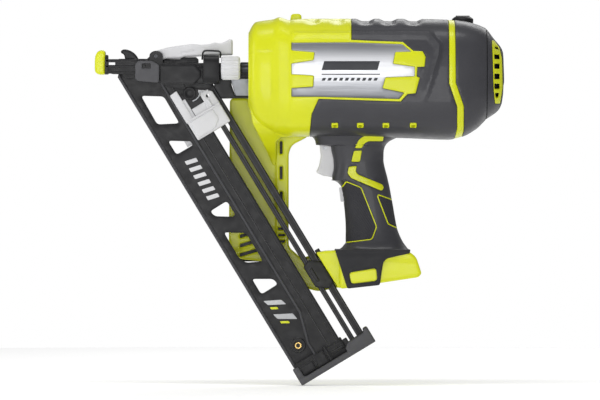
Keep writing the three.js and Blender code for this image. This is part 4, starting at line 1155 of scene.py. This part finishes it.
CHIPS = [
    [(9.4, 231.4), (14.8, 234.4), (14.8, 236.6), (9.4, 233.6)],
    [(10.6, 246), (17, 249.6), (17, 251.8), (10.6, 248.2)],
]


def leaning(y):
    """The magazine's own plane at that Y: places are (distance across, distance down)."""
    c, s = math.cos(MAG_LEAN), math.sin(MAG_LEAN)

    def surface(places, lift):
        across, down = places[:, 0], places[:, 1]
        x = MAG_CORNER[0] + across * c + down * s
        z = MAG_CORNER[1] + across * s - down * c
        return np.stack([x, y - lift, z], 1)

    return surface


def strip(y, outline, depth, rim=RIM, step=4, corner=None, **more):
    """A plate in the magazine's leaning plane."""
    return plate(y, outline, depth, rim, step, corner, leaning, **more)


def printed(name, shapes, radius, slot, look=None):
    """Plain marks printed on the magazine's left plate."""
    marks = [strip(MAG_SKIN, shape, 0.3, 0.05, 3, (radius, 3), lift=0.12) for shape in shapes]
    piece(name, marks, slot, look=look)


def build_magazine():
    skin = leaning(MAG_SKIN)
    outline = [(0, -2.4), (2.4, -5), (16, 4), (46, 27.676), (46, MAG_LENGTH), (0, MAG_LENGTH)]
    holes = [rounded(points, 3) for points in WINDOWS] + [disc(*SCREW, 2.3, 20)]
    sheet = patch(skin, [outline, *holes], depth=3.0, rim=0.5, step=5)
    # The front rim strip and the track ridge take the lighter copy of the black, a painted highlight along the
    # magazine's edges.
    edges = [
        strip(-6.4, [(0, -2.4), (2.4, -5), (2.8, -4.6), (2.8, MAG_LENGTH), (0, MAG_LENGTH)], 2, 0.9),
        strip(-8.5, TRACK_EDGE + shifted(TRACK_EDGE, -2.4)[::-1], 3.9, 0.8),
    ]
    both_sides("magazine_{}_edges", edges, "black", look="black_highlight")
    bars = [
        strip(-7.3, shifted(TRACK_EDGE, -1.6) + [(46, MAG_LENGTH), (46, 28.4)], 2.8, 0.2),
        strip(-8.1, [(35, 22), (36.3, 22.8), (36.3, MAG_LENGTH - 2), (35, MAG_LENGTH - 2)], 1.2, 0.4),
        strip(-8.5, [(42.6, 26.4), (46, 28.4), (46, MAG_LENGTH), (42.6, MAG_LENGTH)], 1.8, 0.8),
    ]
    centre = skin(np.array([SCREW]), np.zeros(1))[0]
    boss = turned([(0, 6.6), (-1.4, 6.5), (-2.1, 5.8), (-2.1, 4.6), (-1.0, 4.2), (-1.0, 3.0)], centre, "y", 36)
    both_sides("magazine_{}_plate", [sheet, boss] + bars, "black", ["magazine_{}"], sharp=30)
    ring = turned([(-0.5, 3.0), (-2.6, 3.0), (-3.2, 2.6), (-3.2, 1.9), (-1.8, 1.4)], centre, "y", 36)
    piece("magazine_screw_ring", [ring] + mirrored([ring]), "brass", nodes=["magazine_screw"])
    # A black disc in the ring's recess: painted shade for the dark of the socket.
    socket_shade_disc = turned([(-1.7, 1.5), (-2.1, 1.5), (-2.1, 0.9)], centre, "y", 24)
    piece("magazine_screw_socket", [socket_shade_disc] + mirrored([socket_shade_disc]), "black")
    clamps = [strip(-8.4, CLAMP, 2.6, 0.8, 2, (1.6, 4)),
              strip(-9.2, [(54, 222), (57.6, 220.4), (57.6, 235), (54, 233)], 1.4, 0.6, 1.6, (0.8, 3))]
    piece("rail_clamp", clamps, "black")
    dash = np.array([(11.6, 88), (21.6, 90.4), (21.6, 94), (11.6, 91.6)])
    printed("magazine_dashes", [(dash + (0, 7 * k)).tolist() for k in range(6)], 0.6, "pale")
    printed("magazine_badges", BADGES, 0.8, "charcoal", look="print_pale")
    printed("magazine_chips", CHIPS, 0.6, "lime")
    build_cap()
    build_pusher()
    for node, width in (("head_rail", 0.7), ("guide_rail", 0.8), ("magazine_bracket", 0.5)):
        eased(node, width)
    # Thin strips in the lighter black along the rails: painted highlights where light runs along the rail edges.
    lines = [strip(y, rect(start, start + 0.9, top_end, 290), 0.8, 0.2, 5, (0.3, 2))
             for y, start, top_end in ((-6.8, 60.8, 40), (-6.8, 64.6, 43), (-6.3, 53.8, 36), (-6.3, 56, 37))]
    both_sides("rail_highlight_strips_{}", lines, "black", look="black_highlight")


CAP_HALF = 13
CAP_BAR = [(-1.7, 296.4), (4.2, 296.4), (6, 297.4), (71.4, 297.4), (71.4, 302.6), (-1.7, 302.6)]
CAP_BLOCK = [(46.2, 294.4), (50.4, 291), (66.6, 290.4), (67.2, 287.6), (71.4, 287.6), (71.4, 302.6), (49.4, 302.6),
             (46.2, 299)]
CAP_FOOT = [(-1.7, 287), (3.6, 287), (4.4, 302), (-1.7, 302)]


def build_cap():
    """The end cap: a grey foot bar with a block at its rear end, over a black core with ribs and pockets."""
    solids = [
        strip(-CAP_HALF, CAP_BAR, CAP_HALF, 1.0, 3, (1.2, 4)),
        strip(-CAP_HALF - 0.4, CAP_BLOCK, CAP_HALF, 1.4, 2.4, (1.6, 4)),
        strip(-CAP_HALF + 1.6, CAP_FOOT, CAP_HALF - 2, 0.9, 2, (1.0, 3)),
    ]
    piece("end_cap_shell", solids + mirrored(solids), "charcoal", nodes=["magazine_end_cap"], sharp=40)
    core = [strip(-7, rect(0.6, 47.6, 284, 298), 7, 0.6, 4, (0.8, 3))]
    ribs = ((-10.4, 4.6, 16.6, 288.4, 296), (-9.6, 19, 29, 285.4, 297), (-10.6, 30, 32.4, 283, 297),
            (-9.8, 34.6, 45.8, 290, 293), (-8, 47.6, 51.6, 287, 296))
    core += [strip(y, rect(*sides), 4.5, 0.6, 2.4, (0.7, 3)) for y, *sides in ribs]
    piece("end_cap_core", core + mirrored(core), "black", sharp=40)


PUSHER_PANEL = [(32.4, 62.4), (55.4, 62.4), (55.4, 72), (49, 77.4), (32.4, 77.4)]
PUSHER_ARM = [(53, 42), (62.6, 48.8), (63, 62), (52, 62), (52, 44)]
ROLLER_WEB = [(37, 38), (50, 37), (56, 44), (56, 58), (37, 58)]
ROLLER = [(0, 4.6), (-0.4, 5.2), (-0.9, 5.4), (-1.9, 5.4), (-2.5, 4.9), (-2.5, 3.4), (-2.1, 3.0), (-2.1, 1.4)]
CLIP = [(44, 48), (47.4, 48.2), (50.4, 47.4), (51.9, 46.2), (53, 44.6), (54.4, 44.8), (55.6, 46)]


def build_pusher():
    """The nail pusher: a boxed slide with a raised panel, a long guide wing, an arm with a clip, and a roller."""
    arm = [rounded(PUSHER_ARM, 1.0, 3), disc(57.4, 50.6, 1.5, 16)]
    solids = [
        strip(-13.2, rect(30.6, 63, 60.2, 79), 4.3, 1.1, 2, (1.6, 4)),
        strip(-14, PUSHER_PANEL, 1.5, 0.9, 1.8, (1.2, 3)),
        strip(-13.9, rect(30.8, 62.8, 60.2, 61.8), 1.6, 0.5, 1.6, (0.6, 3)),
        strip(-12.4, [(29.8, 34), (36.8, 33.4), (36.8, 62), (29.8, 62)], 3.5, 0.8, 2, (0.8, 3)),
        strip(-10.6, rect(36.4, 39.4, 43, 61), 1.7, 0.5, 2, (0.6, 3)),
        strip(-11.4, rect(39.8, 54.6, 53.4, 60.6), 2.5, 0.7, 2, (0.8, 3)),
        patch(leaning(-12.2), arm, depth=3.3, rim=0.7, step=1.6),
        strip(-12.9, rect(54.4, 56.8, 53, 60.4), 1.2, 0.5, 1.2, (0.6, 3)),
        strip(-9.2, rect(46.6, 52.4, 60, 79), 10.6, 0.3, 3),
        strip(-1.4, rect(20, 50, 66, 79), 2.8, 0.3, 3, back_rim=0.3),
    ]
    piece("nail_pusher_slide", solids, "pale", "pusher", ["nail_pusher"], sharp=40)
    hub = leaning(-9.1)(np.array([[45.2, 41.0]]), np.zeros(1))[0]
    spool = turned(ROLLER, hub, "y", 36)
    backing = strip(-9.5, ROLLER_WEB, 0.55, 0.1, 3, (1.0, 3))
    piece("pusher_roller_spool", [spool, backing], "black", "pusher", ["pusher_roller"])
    wire = leaning(-13.3)(np.array(CLIP), np.zeros(len(CLIP)))
    piece("pusher_clip_wire", [tube(wire, 0.6, 10)], "steel", "pusher", ["pusher_clip"])


build_studio()
build_barrel()
build_rear()
build_dial()
build_handle()
build_trigger()
build_foot()
build_column()
build_nose()
build_magazine()
for hidden in ("motor_can", "motor_rotor", "motor_pinion", "motor_fan", "crank_gear", "con_rod",
               "compressor_piston", "compressor_cylinder", "drive_cylinder", "drive_bumper", "drive_piston",
               "driver_blade", "valve_head"):
    paint(hidden)
